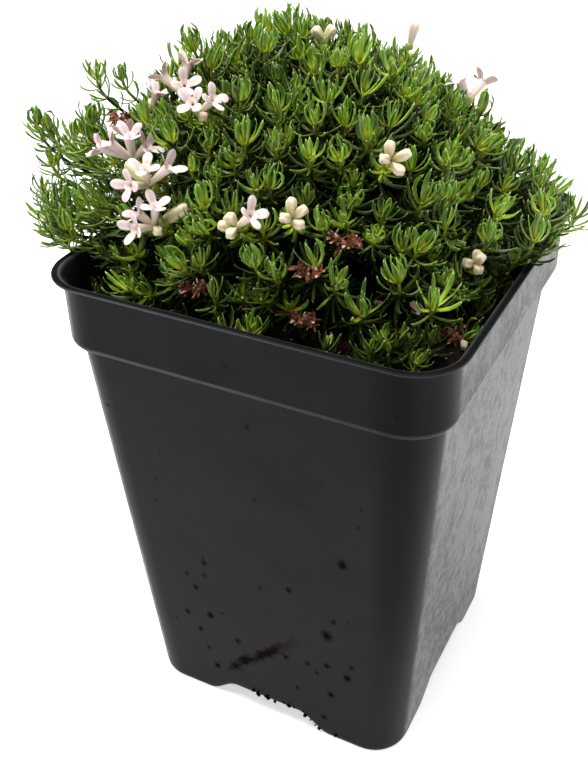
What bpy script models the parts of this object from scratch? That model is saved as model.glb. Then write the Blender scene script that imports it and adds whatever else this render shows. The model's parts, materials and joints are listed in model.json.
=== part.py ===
"""A cushion of small-leaved woodruff in bloom, growing in a square nursery pot.

Metres, +Z up. The pot's four corner feet stand on z = 0, and x = y = 0 is the
middle of the whole plant and pot. A woody crown sits in a plain hole in the
compost. Leafy stems radiate from it, each inside its own cone, so that no two
of them touch. Flower heads and dead heads stand on green stalks above the
leaves, and a few fallen husks lie on the compost.
"""

import math
import random
from collections import namedtuple

import bmesh
import bpy
import numpy as np
from mathutils import Vector

# Pot
POT_AXIS = Vector((0.0067, -0.0015))
POT_HEIGHT = 0.120
LIP_HALF = 0.045
COLLAR_HALF = 0.0432
SHOULDER_HALF = 0.0412
BASE_HALF = 0.0344
LIP_RADIUS = 0.011
COLLAR_RADIUS = 0.0092
BODY_RADIUS = 0.0075
COLLAR_HEIGHT = 0.015
SHOULDER_STEP = 0.0015
SHOULDER_ROUND = 0.0006
INNER_STEP = 0.0005
LIP_THICKNESS = 0.0022
# Depth below the rim and inset from the lip's outer face, round the lip's edge
LIP_PROFILE = ((0.0016, 0.0004), (0.0008, 0.0), (0.0002, 0.0003), (0.0, 0.0009))
WALL = 0.0011
FLOOR = 0.0012
EDGE = 0.0008
FOOT_ARCH = 0.006
ARCH_STATIONS = (0.017, 0.013, 0.009)
PLAIN_BODY_FROM = 0.011
CORNER_STEPS = 4
DRAIN_RADIUS = 0.0035
DRAIN_OFFSET = 0.022
DRAIN_SIDES = 10

# Compost and crown
GAP = 0.0003
SOIL_DEPTH_BELOW_RIM = 0.010
SOIL_RELIEF = 0.0004
SOIL_RINGS = 3
CROWN_OFFSET = Vector((-0.005, 0.008))
CROWN_ABOVE_SOIL = 0.001
CROWN_SIDES = 10
CROWN_HOLE_GAP = 0.0004
# Radius and height above the compost, from the root's tip to the top
CROWN_PROFILE = (
    (0.0012, -0.038), (0.0026, -0.030), (0.0042, -0.012), (0.0054, -0.003),
    (0.0062, 0.0008), (0.0059, 0.0032), (0.0042, 0.0054), (0.0018, 0.0066),
)

# Cushion of leafy stems
SEED = 11
STEM_COUNT = 36
SHOOTS_PER_STEM = 4
LAYOUT_SAMPLES = 6000
REACH = 0.0490
REACH_JITTER = 0.035
# A lobe of the cushion: its direction in degrees, the change in reach there
# and how many degrees it spreads
Lobe = namedtuple("Lobe", "azimuth elevation change spread")
LOBES = (
    Lobe(-148, 24, 0.0170, 13),
    Lobe(-170, 58, 0.0060, 18),
    Lobe(14, 8, 0.0100, 15),
    Lobe(90, 14, -0.0080, 34),
    Lobe(-46, 5, 0.0060, 14),
)
STRAY_REACH_FROM = 0.056
STRAY_EXTRA = (-0.03, 0.10)
STEM_GAP = 0.0002
SHOOT_GAP = 0.00005
WALL_MARGIN = 0.0025
CORE_START = 0.0068
CORE_INSET = 0.028
CORE_BELOW_TIPS = 0.0140
TUFT_CROWNING = 0.0010
TUFT_HEIGHT = (0.0038, 0.0058)
TUFT_LEAN = 0.225
TUFT_BARE_EVERY = 3
SHOOT_SINK = 0.003
WHORL_HEIGHT = 0.0013
WHORL_RADIUS = 0.00095
STALK_RADIUS = 0.0005
STALK_LENGTH = 0.0042
STALK_LEAN = 0.2
WHORL_BELOW_TIPS = 0.0084
WHORL_SPACING = 0.0056
SHORTEST_BARE_STEM = 0.003
SHOOT_LEANS = (0.45, 0.25, 0.1, 0.0)
SHOOT_DROPS = 10
SHOOT_DROP = 0.0012
LEAF_LENGTH = (0.0075, 0.0092)
LEAF_WIDTH = 0.00185
LEAF_KEEL = 0.0009
BUD_HEIGHT = 0.0022
# Lean from the shoot's axis in degrees, at a leaf's foot and at its tip
OUTER_LEAN = (64, 18)
INNER_LEAN = (34, -16)
LOWER_LEAN = (76, 52)
FOOT_LEAN_SPREAD = 7
TIP_LEAN_SPREAD = 10
# Shorter and more upright forms of a leaf, tried in turn where space is short
LEAF_TRIMS = (1, 0.87, 0.74, 0.6, 0.45)
LEAF_FOLDS = (1, 0.86, 0.72)
LEAF_TIP_CLEARANCE = 0.0001
SHOOT_TIP_CLEARANCE = 0.0004
PATH_STEP = 0.0007
WALL_CLEARANCE = 0.0010
RIM_CLEARANCE = 0.0006

# Flower heads and dead heads
Bloom = namedtuple("Bloom", "kind heading rise length")
Head = namedtuple("Head", "azimuth elevation reach blooms")
FLOWER_HEADS = (
    Head(-143, 54, 0.048, (Bloom("open", 87, 61, 0.0069), Bloom("open", -170, 41, 0.0057),
                           Bloom("open", -40, 43, 0.0048))),
    Head(-122, 53, 0.047, (Bloom("open", -80, 44, 0.0052), Bloom("open", -12, 42, 0.0059),
                           Bloom("bud", -42, 14, 0.0036))),
    Head(-158, 42, 0.049, (Bloom("open", 117, 76, 0.0042), Bloom("bud", -91, 61, 0.0036))),
    Head(-135, 34, 0.049, (Bloom("open", -168, 22, 0.0072), Bloom("open", -157, 51, 0.0052),
                           Bloom("open", -62, 70, 0.0050), Bloom("bud", 27, 45, 0.0049))),
    Head(-118, 32, 0.049, (Bloom("bud", -179, 47, 0.0062), Bloom("open", -63, 66, 0.0053),
                           Bloom("open", 9, 45, 0.0064))),
    Head(-114, 24, 0.047, (Bloom("open", -172, 36, 0.0066), Bloom("open", -52, 52, 0.0056),
                           Bloom("open", -106, 16, 0.0055), Bloom("bud", 26, 28, 0.0069),
                           Bloom("bud", -48, 14, 0.0043))),
    Head(-87, 30, 0.047, (Bloom("open", -16, 42, 0.0063), Bloom("bud", -119, 53, 0.0042),
                          Bloom("bud", -93, 11, 0.0044))),
    Head(-72, 33, 0.047, (Bloom("bud", -50, 69, 0.0049), Bloom("bud", -16, 48, 0.0044),
                          Bloom("bud", -78, 38, 0.0041), Bloom("bud", -32, 16, 0.0035))),
    Head(-42, 45, 0.048, (Bloom("bud", -61, 61, 0.0045), Bloom("bud", -24, 33, 0.0051),
                          Bloom("bud", -76, 30, 0.0046), Bloom("bud", -41, 4, 0.0047))),
    Head(-21, 14, 0.046, (Bloom("bud", -55, 44, 0.0041), Bloom("bud", -95, 36, 0.0038))),
    Head(-47, 88, 0.048, (Bloom("bud", 49, 63, 0.0032), Bloom("bud", -160, 58, 0.0032))),
    Head(31, 69, 0.049, (Bloom("bud", 62, 74, 0.0050),)),
    Head(14, 50, 0.048, (Bloom("open", -174, 61, 0.0045), Bloom("open", 64, 41, 0.0051))),
)
SPENT_CLUSTER = (Bloom("spent", 20, 40, 0.0034), Bloom("spent", 170, 30, 0.0036))
DEAD_HEADS = (
    Head(-98, 12, 0.045, SPENT_CLUSTER),
    Head(-69, 9, 0.046, SPENT_CLUSTER),
    Head(-59, 26, 0.046, SPENT_CLUSTER),
    Head(-67, 20, 0.046, SPENT_CLUSTER),
    Head(-149, 37, 0.053, SPENT_CLUSTER),
)
HUSKS_PLACE = Vector((0.0345, -0.0150))
HUSKS = (Bloom("spent", 200, 8, 0.0032), Bloom("spent", -60, 12, 0.0030),
         Bloom("spent", 70, 14, 0.0034))
KNOB_RADIUS = 0.0010
HEAD_GAP = 0.00035
TUBE_RADIUS = 0.0004
THROAT_RADIUS = 0.00075
THROAT_BAND = 0.0007
THROAT_DEPTH = 0.0006
PETAL_LENGTH = 0.0026
PETAL_WIDTH = 0.00185
PETAL_BEND_AT = 0.75
PETAL_RISE = (-0.1, 0.3)
BUD_RADIUS = 0.00095
SPENT_RADIUS = 0.00080
# Share of the length and of the radius, from the tube to the blunt end
CLUB_PROFILE = ((0.62, 1.0), (0.88, 0.85))
CLUB_SPREAD = 0.2
FLOWER_KEEP_OUT = 0.0042
FLOWER_KEEP_BELOW = 0.0018
FLOWER_KEEP_ABOVE = 0.0028
TUBE_KEEP_OUT = 0.0016
FLOWER_NEIGHBOURS = 0.018
STALK_INSET = 0.036
SPENT_DROOP = 0.0006
HUSKS_HEIGHT = 0.0018

UP = Vector((0, 0, 1))
SOIL_TOP = POT_HEIGHT - SOIL_DEPTH_BELOW_RIM
SHOULDER_HEIGHT = POT_HEIGHT - COLLAR_HEIGHT
CROWN = Vector((*(POT_AXIS + CROWN_OFFSET), SOIL_TOP + CROWN_ABOVE_SOIL))


def clear_scene():
    for item in list(bpy.data.objects):
        bpy.data.objects.remove(item)


def finish(name, colour, roughness, metallic=0.0):
    material = bpy.data.materials.new(name)
    material.use_nodes = True
    shader = material.node_tree.nodes["Principled BSDF"]
    shader.inputs["Base Color"].default_value = (*colour, 1)
    shader.inputs["Roughness"].default_value = roughness
    shader.inputs["Metallic"].default_value = metallic
    return material


def mesh_from(bm, name):
    """Turn a bmesh into a mesh of triangles."""
    bmesh.ops.triangulate(bm, faces=bm.faces[:])
    mesh = bpy.data.meshes.new(name)
    bm.to_mesh(mesh)
    bm.free()
    return mesh


def add_object(name, mesh, material):
    item = bpy.data.objects.new(name, mesh)
    item.data.materials.clear()
    item.data.materials.append(material)
    bpy.context.scene.collection.objects.link(item)
    return item


def heading(azimuth, elevation):
    """Unit vector for a compass heading and a rise, both in degrees."""
    a, e = math.radians(azimuth), math.radians(elevation)
    return Vector((math.cos(e) * math.cos(a), math.cos(e) * math.sin(a), math.sin(e)))


def across(axis):
    """Two unit vectors square to an axis and to each other."""
    side = axis.orthogonal().normalized()
    return side, axis.cross(side).normalized()


# Pot and compost: rings of rounded squares, joined from one to the next

def arch_rise(t):
    """Height of the arch between two feet, t along the pot's side."""
    outer, inner = ARCH_STATIONS[0], ARCH_STATIONS[-1]
    s = min(max((outer - abs(t)) / (outer - inner), 0.0), 1.0)
    return FOOT_ARCH * s * s * (3 - 2 * s)


def stations():
    """Points along a side where the arch changes, from + to -."""
    return list(ARCH_STATIONS) + [-t for t in reversed(ARCH_STATIONS)]


def body_half(height):
    """Half width of the tapered body at a height."""
    return BASE_HALF + (SHOULDER_HALF - BASE_HALF) * height / SHOULDER_HEIGHT


def quarter_turn(x, y, turns):
    for _ in range(turns % 4):
        x, y = -y, x
    return x, y


def ring(bm, height, half_at, radius, arched=False):
    """One rounded square: four corner arcs, and side points where it is arched."""
    arcs, sides = [], []
    half = half_at(height)
    for turns in range(4):
        arc = []
        for step in range(CORNER_STEPS + 1):
            angle = math.radians(90 * step / CORNER_STEPS)
            x = half - radius + radius * math.cos(angle)
            y = half - radius + radius * math.sin(angle)
            arc.append(bm.verts.new((*quarter_turn(x, y, turns), height)))
        arcs.append(arc)
        side = []
        if arched:
            for t in stations():
                z = height + arch_rise(t)
                side.append(bm.verts.new((*quarter_turn(t, half_at(z), turns), z)))
        sides.append(side)
    return arcs, sides


def fan(bm, arched, plain, flipped):
    """Fill a side between an arched edge and the two ends of a plain one."""
    middle = len(arched) // 2 - 1
    loops = []
    for i in range(len(arched) - 1):
        if i == middle:
            loops.append((arched[i], arched[i + 1], plain[1], plain[0]))
        else:
            loops.append((arched[i], arched[i + 1], plain[0] if i < middle else plain[1]))
    for loop in loops:
        bm.faces.new(loop[::-1] if flipped else loop)


def loft(bm, first, second):
    """Join two rings, with one flat face for each plain stretch of side."""
    for turns in range(4):
        a, b = first[0][turns], second[0][turns]
        for i in range(CORNER_STEPS):
            bm.faces.new((a[i], a[i + 1], b[i + 1], b[i]))
        next_turn = (turns + 1) % 4
        low = [a[-1], *first[1][turns], first[0][next_turn][0]]
        high = [b[-1], *second[1][turns], second[0][next_turn][0]]
        if len(low) == len(high):
            for i in range(len(low) - 1):
                bm.faces.new((low[i], low[i + 1], high[i + 1], high[i]))
        elif len(low) > len(high):
            fan(bm, low, high, flipped=False)
        else:
            fan(bm, high, low, flipped=True)


def turned(i, j, last, turns):
    """Index of a grid point after quarter turns about the pot's axis."""
    for _ in range(turns % 4):
        i, j = last - j, i
    return i, j


def arched_floor(bm, edge, height, face_up):
    """Floor inside an arched ring: flat feet with a cross of raised channels."""
    lines = stations()
    last = len(lines) - 1
    grid = {}
    for i, x in enumerate(lines):
        for j, y in enumerate(lines):
            z = height + max(arch_rise(x), arch_rise(y))
            grid[i, j] = bm.verts.new((x, y, z))
    loops = []
    for i in range(last):
        for j in range(last):
            loops.append((grid[i, j], grid[i + 1, j], grid[i + 1, j + 1], grid[i, j + 1]))
    arcs, sides = edge
    for turns in range(4):
        side = sides[turns]
        for i in range(last):
            near = grid[turned(i, 0, last, turns)]
            far = grid[turned(i + 1, 0, last, turns)]
            loops.append((side[i], side[i + 1], far, near))
        corner = grid[turned(0, 0, last, turns)]
        loops.append((*arcs[turns], side[0], corner, sides[turns - 1][-1]))
    for loop in loops:
        bm.faces.new(loop if face_up else loop[::-1])


def fixed(value):
    return lambda height: value


def pot_mesh():
    bm = bmesh.new()
    lip_inner = LIP_HALF - LIP_THICKNESS
    inner_collar = COLLAR_HALF - WALL
    inner_radius = COLLAR_RADIUS - WALL
    inner_body = SHOULDER_HALF - WALL
    body_top = SHOULDER_HEIGHT - SHOULDER_STEP
    bend = SHOULDER_ROUND
    # Height, half width and corner radius, up the outside and down the inside
    profile = [
        (PLAIN_BODY_FROM, body_half(PLAIN_BODY_FROM), BODY_RADIUS),
        (body_top, SHOULDER_HALF, BODY_RADIUS),
        (SHOULDER_HEIGHT - bend, COLLAR_HALF - bend, COLLAR_RADIUS - bend),
        (SHOULDER_HEIGHT, COLLAR_HALF, COLLAR_RADIUS),
        (POT_HEIGHT - LIP_THICKNESS, COLLAR_HALF, COLLAR_RADIUS),
    ]
    profile += [(POT_HEIGHT - depth, LIP_HALF - inset, LIP_RADIUS - inset)
                for depth, inset in LIP_PROFILE]
    profile += [
        (POT_HEIGHT, lip_inner, LIP_RADIUS - LIP_THICKNESS),
        (POT_HEIGHT - INNER_STEP, inner_collar, inner_radius),
        (SHOULDER_HEIGHT + INNER_STEP, inner_collar, inner_radius),
        (body_top + INNER_STEP, inner_body, BODY_RADIUS - WALL),
        (PLAIN_BODY_FROM + FLOOR, body_half(PLAIN_BODY_FROM) - WALL, BODY_RADIUS - WALL),
    ]
    underside = ring(bm, 0.0, lambda z: body_half(z) - EDGE, BODY_RADIUS - EDGE, arched=True)
    rings = [underside, ring(bm, EDGE, body_half, BODY_RADIUS, arched=True)]
    rings += [ring(bm, height, fixed(half), radius) for height, half, radius in profile]
    inside = ring(bm, FLOOR, lambda z: body_half(z) - WALL, BODY_RADIUS - WALL, arched=True)
    rings.append(inside)
    for first, second in zip(rings, rings[1:]):
        loft(bm, first, second)
    arched_floor(bm, underside, 0.0, face_up=False)
    arched_floor(bm, inside, FLOOR, face_up=True)
    return mesh_from(bm, "pot")


def drain_cutter():
    """Rods that cut the drain holes, one in each channel and one in the middle."""
    bm = bmesh.new()
    places = [(0, 0)] + [quarter_turn(DRAIN_OFFSET, 0, turns) for turns in range(4)]
    for x, y in places:
        made = bmesh.ops.create_cone(bm, cap_ends=True, segments=DRAIN_SIDES, radius1=DRAIN_RADIUS,
                                     radius2=DRAIN_RADIUS, depth=2 * FOOT_ARCH)
        bmesh.ops.translate(bm, verts=made["verts"], vec=(x, y, FOOT_ARCH))
    return mesh_from(bm, "drain_cutter")


def make_pot(material):
    pot = add_object("pot", pot_mesh(), material)
    cutter = bpy.data.objects.new("drain_cutter", drain_cutter())
    bpy.context.scene.collection.objects.link(cutter)
    for item in (pot, cutter):
        item.location = (*POT_AXIS, 0)
    cutter.hide_render = True
    cutter.display_type = "WIRE"
    drains = pot.modifiers.new("drains", "BOOLEAN")
    drains.operation = "DIFFERENCE"
    drains.object = cutter


def round_ring(bm, centre, radius, height, sides, start=0.0):
    angles = [start + 2 * math.pi * i / sides for i in range(sides)]
    return [bm.verts.new((centre.x + radius * math.cos(a), centre.y + radius * math.sin(a), height))
            for a in angles]


def join_loops(bm, first, second):
    count = len(first)
    for i in range(count):
        j = (i + 1) % count
        bm.faces.new((first[i], first[j], second[j], second[i]))


def soil_mesh():
    """Compost that fills the pot, with a plain tapered hole for the crown."""
    bm = bmesh.new()
    rng = random.Random(SEED)
    skin = WALL + GAP
    body = SHOULDER_HALF - skin - GAP
    collar = COLLAR_HALF - skin
    profile = (
        (PLAIN_BODY_FROM + FLOOR + GAP, body_half(PLAIN_BODY_FROM) - skin, BODY_RADIUS - skin),
        (SHOULDER_HEIGHT - SHOULDER_STEP, body, BODY_RADIUS - skin),
        (SHOULDER_HEIGHT - INNER_STEP, body, BODY_RADIUS - skin),
        (SHOULDER_HEIGHT + 2 * SHOULDER_ROUND, collar, COLLAR_RADIUS - skin),
        (SOIL_TOP, collar, COLLAR_RADIUS - skin),
    )
    base = ring(bm, FLOOR + GAP, lambda z: body_half(z) - skin, BODY_RADIUS - skin, arched=True)
    rings = [base] + [ring(bm, height, fixed(half), radius) for height, half, radius in profile]
    for first, second in zip(rings, rings[1:]):
        loft(bm, first, second)
    arched_floor(bm, base, FLOOR + GAP, face_up=False)
    edge = [vert for arc in rings[-1][0] for vert in arc]
    sides = len(edge)
    start = math.radians(45) - 2 * math.pi * (CORNER_STEPS / 2) / sides
    hole = [(radius + CROWN_HOLE_GAP, height) for radius, height in CROWN_PROFILE if height < 0]
    hole[0] = (hole[0][0], hole[0][1] - CROWN_HOLE_GAP)
    mouth_radius = max(radius for radius, _ in CROWN_PROFILE) + 2 * CROWN_HOLE_GAP
    mouth = round_ring(bm, CROWN_OFFSET, mouth_radius, SOIL_TOP, sides, start)
    loops = [edge]
    for step in range(1, SOIL_RINGS + 1):
        share = step / (SOIL_RINGS + 1)
        loop = []
        for outer, inner in zip(edge, mouth):
            place = outer.co.lerp(inner.co, share)
            place.z += SOIL_RELIEF * rng.uniform(-1, 1)
            loop.append(bm.verts.new(place))
        loops.append(loop)
    loops.append(mouth)
    for radius, height in reversed(hole):
        loops.append(round_ring(bm, CROWN_OFFSET, radius, SOIL_TOP + height, sides, start))
    for first, second in zip(loops, loops[1:]):
        join_loops(bm, first, second)
    bm.faces.new(loops[-1])
    return mesh_from(bm, "soil")


def crown_mesh():
    """Short woody root and the rounded crown that the stems spring from."""
    bm = bmesh.new()
    centre = CROWN.xy
    loops = [round_ring(bm, centre, radius, SOIL_TOP + height, CROWN_SIDES)
             for radius, height in CROWN_PROFILE]
    for first, second in zip(loops, loops[1:]):
        join_loops(bm, first, second)
    bm.faces.new(loops[0][::-1])
    bm.faces.new(loops[-1])
    return mesh_from(bm, "woody_crown")


# Layout of the cushion: cones of directions round the crown

def wall_reach(direction, spare):
    """Distance from the crown to the pot's inner wall, or none above the rim."""
    half = COLLAR_HALF - WALL - spare
    reach = math.inf
    for offset, part in zip(CROWN_OFFSET, direction.xy):
        if part:
            reach = min(reach, (math.copysign(half, part) - offset) / part)
    exit_height = CROWN.z + reach * direction.z
    return reach if exit_height < POT_HEIGHT + 2 * WALL_CLEARANCE else math.inf


def reach_at(direction):
    """How far the leaf tips stand from the crown in a direction."""
    reach = REACH
    for lobe in LOBES:
        angle = math.degrees(direction.angle(heading(lobe.azimuth, lobe.elevation)))
        reach += lobe.change * math.exp(-0.5 * (angle / lobe.spread) ** 2)
    return min(reach, wall_reach(direction, WALL_MARGIN))


def lattice(count):
    """Evenly spread directions over the upper half of a sphere."""
    turn = math.pi * (3 - math.sqrt(5))
    points = []
    for i in range(count):
        z = (i + 0.5) / count
        flat = math.sqrt(1 - z * z)
        points.append((flat * math.cos(i * turn), flat * math.sin(i * turn), z))
    return np.array(points)


def settle(seeds, points, weights, kept=0, rounds=20):
    """Move each seed but the first few to the middle of the points nearest to it."""
    seeds = seeds.copy()
    for _ in range(rounds):
        owner = np.argmax(points @ seeds.T, axis=1)
        for k in range(kept, len(seeds)):
            total = (points * weights[:, None])[owner == k].sum(axis=0)
            if total.any():
                seeds[k] = total / np.linalg.norm(total)
    return seeds


class Cone:
    """Space round one direction, between planes through the crown."""

    def __init__(self, axis, planes):
        self.axis = axis
        self.planes = planes

    def holds(self, point, spare):
        place = point - CROWN
        return all(normal.dot(place) >= gap + spare for normal, gap in self.planes)

    def outline(self, inset):
        """Corners of the cone's outline, on the plane at unit distance."""
        side, other = across(self.axis)
        square = ((1, 1), (-1, 1), (-1, -1), (1, -1))
        corners = [side * x + other * y + self.axis for x, y in square]
        for normal, _ in self.planes:
            kept = []
            for i, corner in enumerate(corners):
                last = corners[i - 1]
                height, last_height = normal.dot(corner) - inset, normal.dot(last) - inset
                if (height < 0) != (last_height < 0):
                    kept.append(last.lerp(corner, last_height / (last_height - height)))
                if height >= 0:
                    kept.append(corner)
            corners = kept
        return [corner for i, corner in enumerate(corners)
                if (corner - corners[i - 1]).length > 2 * inset]


def neighbour_planes(index, directions, gap):
    planes = []
    for k, direction in enumerate(directions):
        if k != index:
            planes.append(((directions[index] - direction).normalized(), gap))
    return planes


# Places that flowers hold, and the pot's wall and rim

class Blooms:
    """Space taken by the flower heads, kept free of leaves."""

    def __init__(self):
        self.rods = []
        self.discs = []

    def add(self, knob, blooms):
        for bloom in blooms:
            axis = heading(bloom.heading, bloom.rise)
            mouth = knob + axis * bloom.length
            self.rods.append((knob, mouth))
            if bloom.kind == "open":
                self.discs.append((mouth, axis))

    def near(self, point, distance):
        local = Blooms()
        local.rods = [rod for rod in self.rods if (rod[0] - point).length < distance]
        local.discs = [disc for disc in self.discs if (disc[0] - point).length < distance]
        return local

    def touch(self, point):
        for start, end in self.rods:
            along = end - start
            share = min(max((point - start).dot(along) / along.length_squared, 0), 1)
            if (start + along * share - point).length < TUBE_KEEP_OUT:
                return True
        for mouth, axis in self.discs:
            height = (point - mouth).dot(axis)
            if -FLOWER_KEEP_BELOW < height < FLOWER_KEEP_ABOVE:
                if (point - mouth - axis * height).length < FLOWER_KEEP_OUT:
                    return True
        return False


def clear_of_pot(point):
    """Whether a point lies above the rim or well inside the pot's wall."""
    if point.z > POT_HEIGHT + RIM_CLEARANCE:
        return True
    half = COLLAR_HALF - WALL - WALL_CLEARANCE
    radius = LIP_RADIUS - WALL
    x, y = abs(point.x - POT_AXIS.x), abs(point.y - POT_AXIS.y)
    if max(x, y) > half:
        return False
    return min(x, y) < half - radius or math.hypot(x - half + radius, y - half + radius) < radius


def path_is_clear(points, blooms):
    for start, end in zip(points, points[1:]):
        steps = max(2, math.ceil((end - start).length / PATH_STEP))
        for step in range(1, steps + 1):
            point = start.lerp(end, step / steps)
            if not clear_of_pot(point) or blooms.touch(point):
                return False
    return True


# Leafy stems: a core of old wood and leaves, and shoots with whorls of leaves

def skin(bm, loop, ends):
    """Walls from a loop of corners to a second loop, or to one point."""
    count = len(loop)
    for i in range(count):
        j = (i + 1) % count
        if isinstance(ends, list):
            bm.faces.new((loop[i], loop[j], ends[j], ends[i]))
        else:
            bm.faces.new((loop[i], loop[j], ends))


Leaf = namedtuple("Leaf", "middle tip inward")


def shape_leaf(foot, radial, axis, length, lean):
    """Arched midline of a leaf: it leans out at its foot and curls at its tip."""
    start, end = (math.radians(angle) for angle in lean)
    middle = foot + (radial * math.sin(start) + axis * math.cos(start)) * length / 2
    tip = middle + (radial * math.sin(end) + axis * math.cos(end)) * length / 2
    mean = (start + end) / 2
    return Leaf(middle, tip, axis * math.sin(mean) - radial * math.cos(mean))


def fit_leaf(foot, radial, axis, lean, rng, cone, blooms):
    """The longest and most spreading leaf that stays in its own space, if any does."""
    start = lean[0] + rng.uniform(-FOOT_LEAN_SPREAD, FOOT_LEAN_SPREAD)
    end = lean[1] + rng.uniform(-TIP_LEAN_SPREAD, TIP_LEAN_SPREAD)
    full = rng.uniform(*LEAF_LENGTH)
    for trim in LEAF_TRIMS:
        for fold in LEAF_FOLDS:
            lean = (start * fold, min(end, start * fold))
            leaf = shape_leaf(foot, radial, axis, full * trim, lean)
            if not cone.holds(leaf.middle, LEAF_WIDTH / 2):
                continue
            if not cone.holds(leaf.tip, LEAF_TIP_CLEARANCE):
                continue
            if path_is_clear((foot, leaf.middle, leaf.tip), blooms):
                return leaf
    return None


def grow_leaf(bm, face, leaf, tangent, keel_inside, plain):
    """Extrude one three-cornered face of the shoot to a keeled leaf, or a plain one."""
    if leaf is None:
        bm.faces.new(face)
        return
    if plain:
        skin(bm, list(face), bm.verts.new(leaf.tip))
        return
    half = tangent * LEAF_WIDTH / 2
    keel = leaf.inward * LEAF_KEEL / 2
    if keel_inside:
        corners = (leaf.middle - keel - half, leaf.middle - keel + half, leaf.middle + keel)
    else:
        corners = (leaf.middle - keel, leaf.middle + keel + half, leaf.middle + keel - half)
    middle = [bm.verts.new(corner) for corner in corners]
    skin(bm, list(face), middle)
    skin(bm, middle, bm.verts.new(leaf.tip))


Site = namedtuple("Site", "sunk whorls axis stalk")


def shoot_mesh(site, cone, blooms, rng):
    """One shoot: its stem, whorls of three leaves, a crown of six, and its tip."""
    bm = bmesh.new()
    side, other = across(site.axis)
    turn = rng.uniform(0, 2 * math.pi)

    def out(angle):
        return side * math.cos(angle) + other * math.sin(angle)

    def three(centre, radius, angle):
        return [bm.verts.new(centre + out(angle + 2 * math.pi * k / 3) * radius) for k in range(3)]

    last = three(site.sunk, STALK_RADIUS, turn)
    bm.faces.new(last[::-1])
    for level, centre in enumerate(site.whorls):
        top = level == len(site.whorls) - 1
        leans = (OUTER_LEAN, INNER_LEAN) if top else (LOWER_LEAN, None)
        low = three(centre, WHORL_RADIUS, turn)
        high = three(centre + site.axis * WHORL_HEIGHT, WHORL_RADIUS, turn + math.pi / 3)
        skin(bm, last, low)
        for k in range(3):
            j = (k + 1) % 3
            angle = turn + 2 * math.pi * k / 3 + math.pi / 3
            faces = (((low[k], low[j], high[k]), angle, leans[0], True),
                     ((low[j], high[j], high[k]), angle + math.pi / 3, leans[1], False))
            for face, towards, lean, keel_inside in faces:
                foot = sum((corner.co for corner in face), Vector()) / 3
                radial = out(towards)
                leaf = lean and fit_leaf(foot, radial, site.axis, lean, rng, cone, blooms)
                grow_leaf(bm, face, leaf, site.axis.cross(radial), keel_inside, not top)
        last = high
        turn += math.pi / 3
    if site.stalk is None:
        skin(bm, last, bm.verts.new(site.whorls[-1] + site.axis * (WHORL_HEIGHT + BUD_HEIGHT)))
    else:
        stalk = three(site.stalk, STALK_RADIUS, turn)
        skin(bm, last, stalk)
        bm.faces.new(stalk)
    return mesh_from(bm, "shoot")


def core_mesh(cone, corners, cap, rng):
    """Tapered core of a stem, which ends in a tuft of old leaves below the young ones."""
    bm = bmesh.new()
    if (corners[1] - corners[0]).cross(corners[2] - corners[1]).dot(cone.axis) < 0:
        corners = corners[::-1]
    near = [bm.verts.new(CROWN + corner * CORE_START) for corner in corners]
    far = []
    for corner, following in zip(corners, corners[1:] + corners[:1]):
        far.append(CROWN + corner * cap)
        far.append(CROWN + (corner + following) * cap / 2)
    far = [bm.verts.new(place) for place in far]
    for i, vert in enumerate(near):
        j = (i + 1) % len(near)
        bm.faces.new((vert, near[j], far[2 * j], far[2 * i + 1], far[2 * i]))
    bm.faces.new(near[::-1])
    middle = bm.verts.new(CROWN + cone.axis * (cap + TUFT_CROWNING))
    for i, vert in enumerate(far):
        loop = (vert, far[(i + 1) % len(far)], middle)
        foot = sum((corner.co for corner in loop), Vector()) / 3
        grow = (foot - CROWN).normalized() + UP * TUFT_LEAN
        tip = foot + grow * rng.uniform(*TUFT_HEIGHT)
        if i % TUFT_BARE_EVERY and cone.holds(tip, 0) and clear_of_pot(tip):
            skin(bm, list(loop), bm.verts.new(tip))
        else:
            bm.faces.new(loop)
    return mesh_from(bm, "core")


def place_shoot(direction, cone, cap, blooms, rng):
    """Find where a shoot's whorls stand, lower where flowers or the wall need room."""
    reach = reach_at(direction) * (1 + REACH_JITTER * rng.uniform(-1, 1))
    if reach > STRAY_REACH_FROM:
        reach *= 1 + rng.uniform(*STRAY_EXTRA)
    sunk = CROWN + direction * (cap / direction.dot(cone.axis) - SHOOT_SINK)
    for drop in range(SHOOT_DROPS):
        tip = CROWN + direction * (reach - SHOOT_DROP * drop)
        for lean in SHOOT_LEANS:
            axis = (direction + UP * lean).normalized()
            top = tip - axis * WHORL_BELOW_TIPS
            if not cone.holds(top, WHORL_RADIUS) or not cone.holds(tip, SHOOT_TIP_CLEARANCE):
                continue
            if path_is_clear((sunk, top, tip), blooms):
                return Site(sunk, whorl_chain(sunk, top, axis), axis, None)
    return None


def whorl_chain(sunk, top, axis):
    """Whorls down the stem from the top one, while enough stem is left."""
    chain = [top]
    bare = (top - sunk).length - SHOOT_SINK
    down = (sunk - top).normalized()
    while bare > WHORL_SPACING + SHORTEST_BARE_STEM:
        chain.insert(0, chain[0] + down * WHORL_SPACING)
        bare -= WHORL_SPACING
    return chain


def place_stalk(knob, direction, cone, cap):
    """A flower stalk's whorl and tip, below the knob that it carries."""
    axis = (direction + UP * STALK_LEAN).normalized()
    tip = knob - axis * (KNOB_RADIUS + HEAD_GAP)
    sunk = CROWN + direction * (cap / direction.dot(cone.axis) - SHOOT_SINK)
    return Site(sunk, [tip - axis * STALK_LENGTH], axis, tip)


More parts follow.
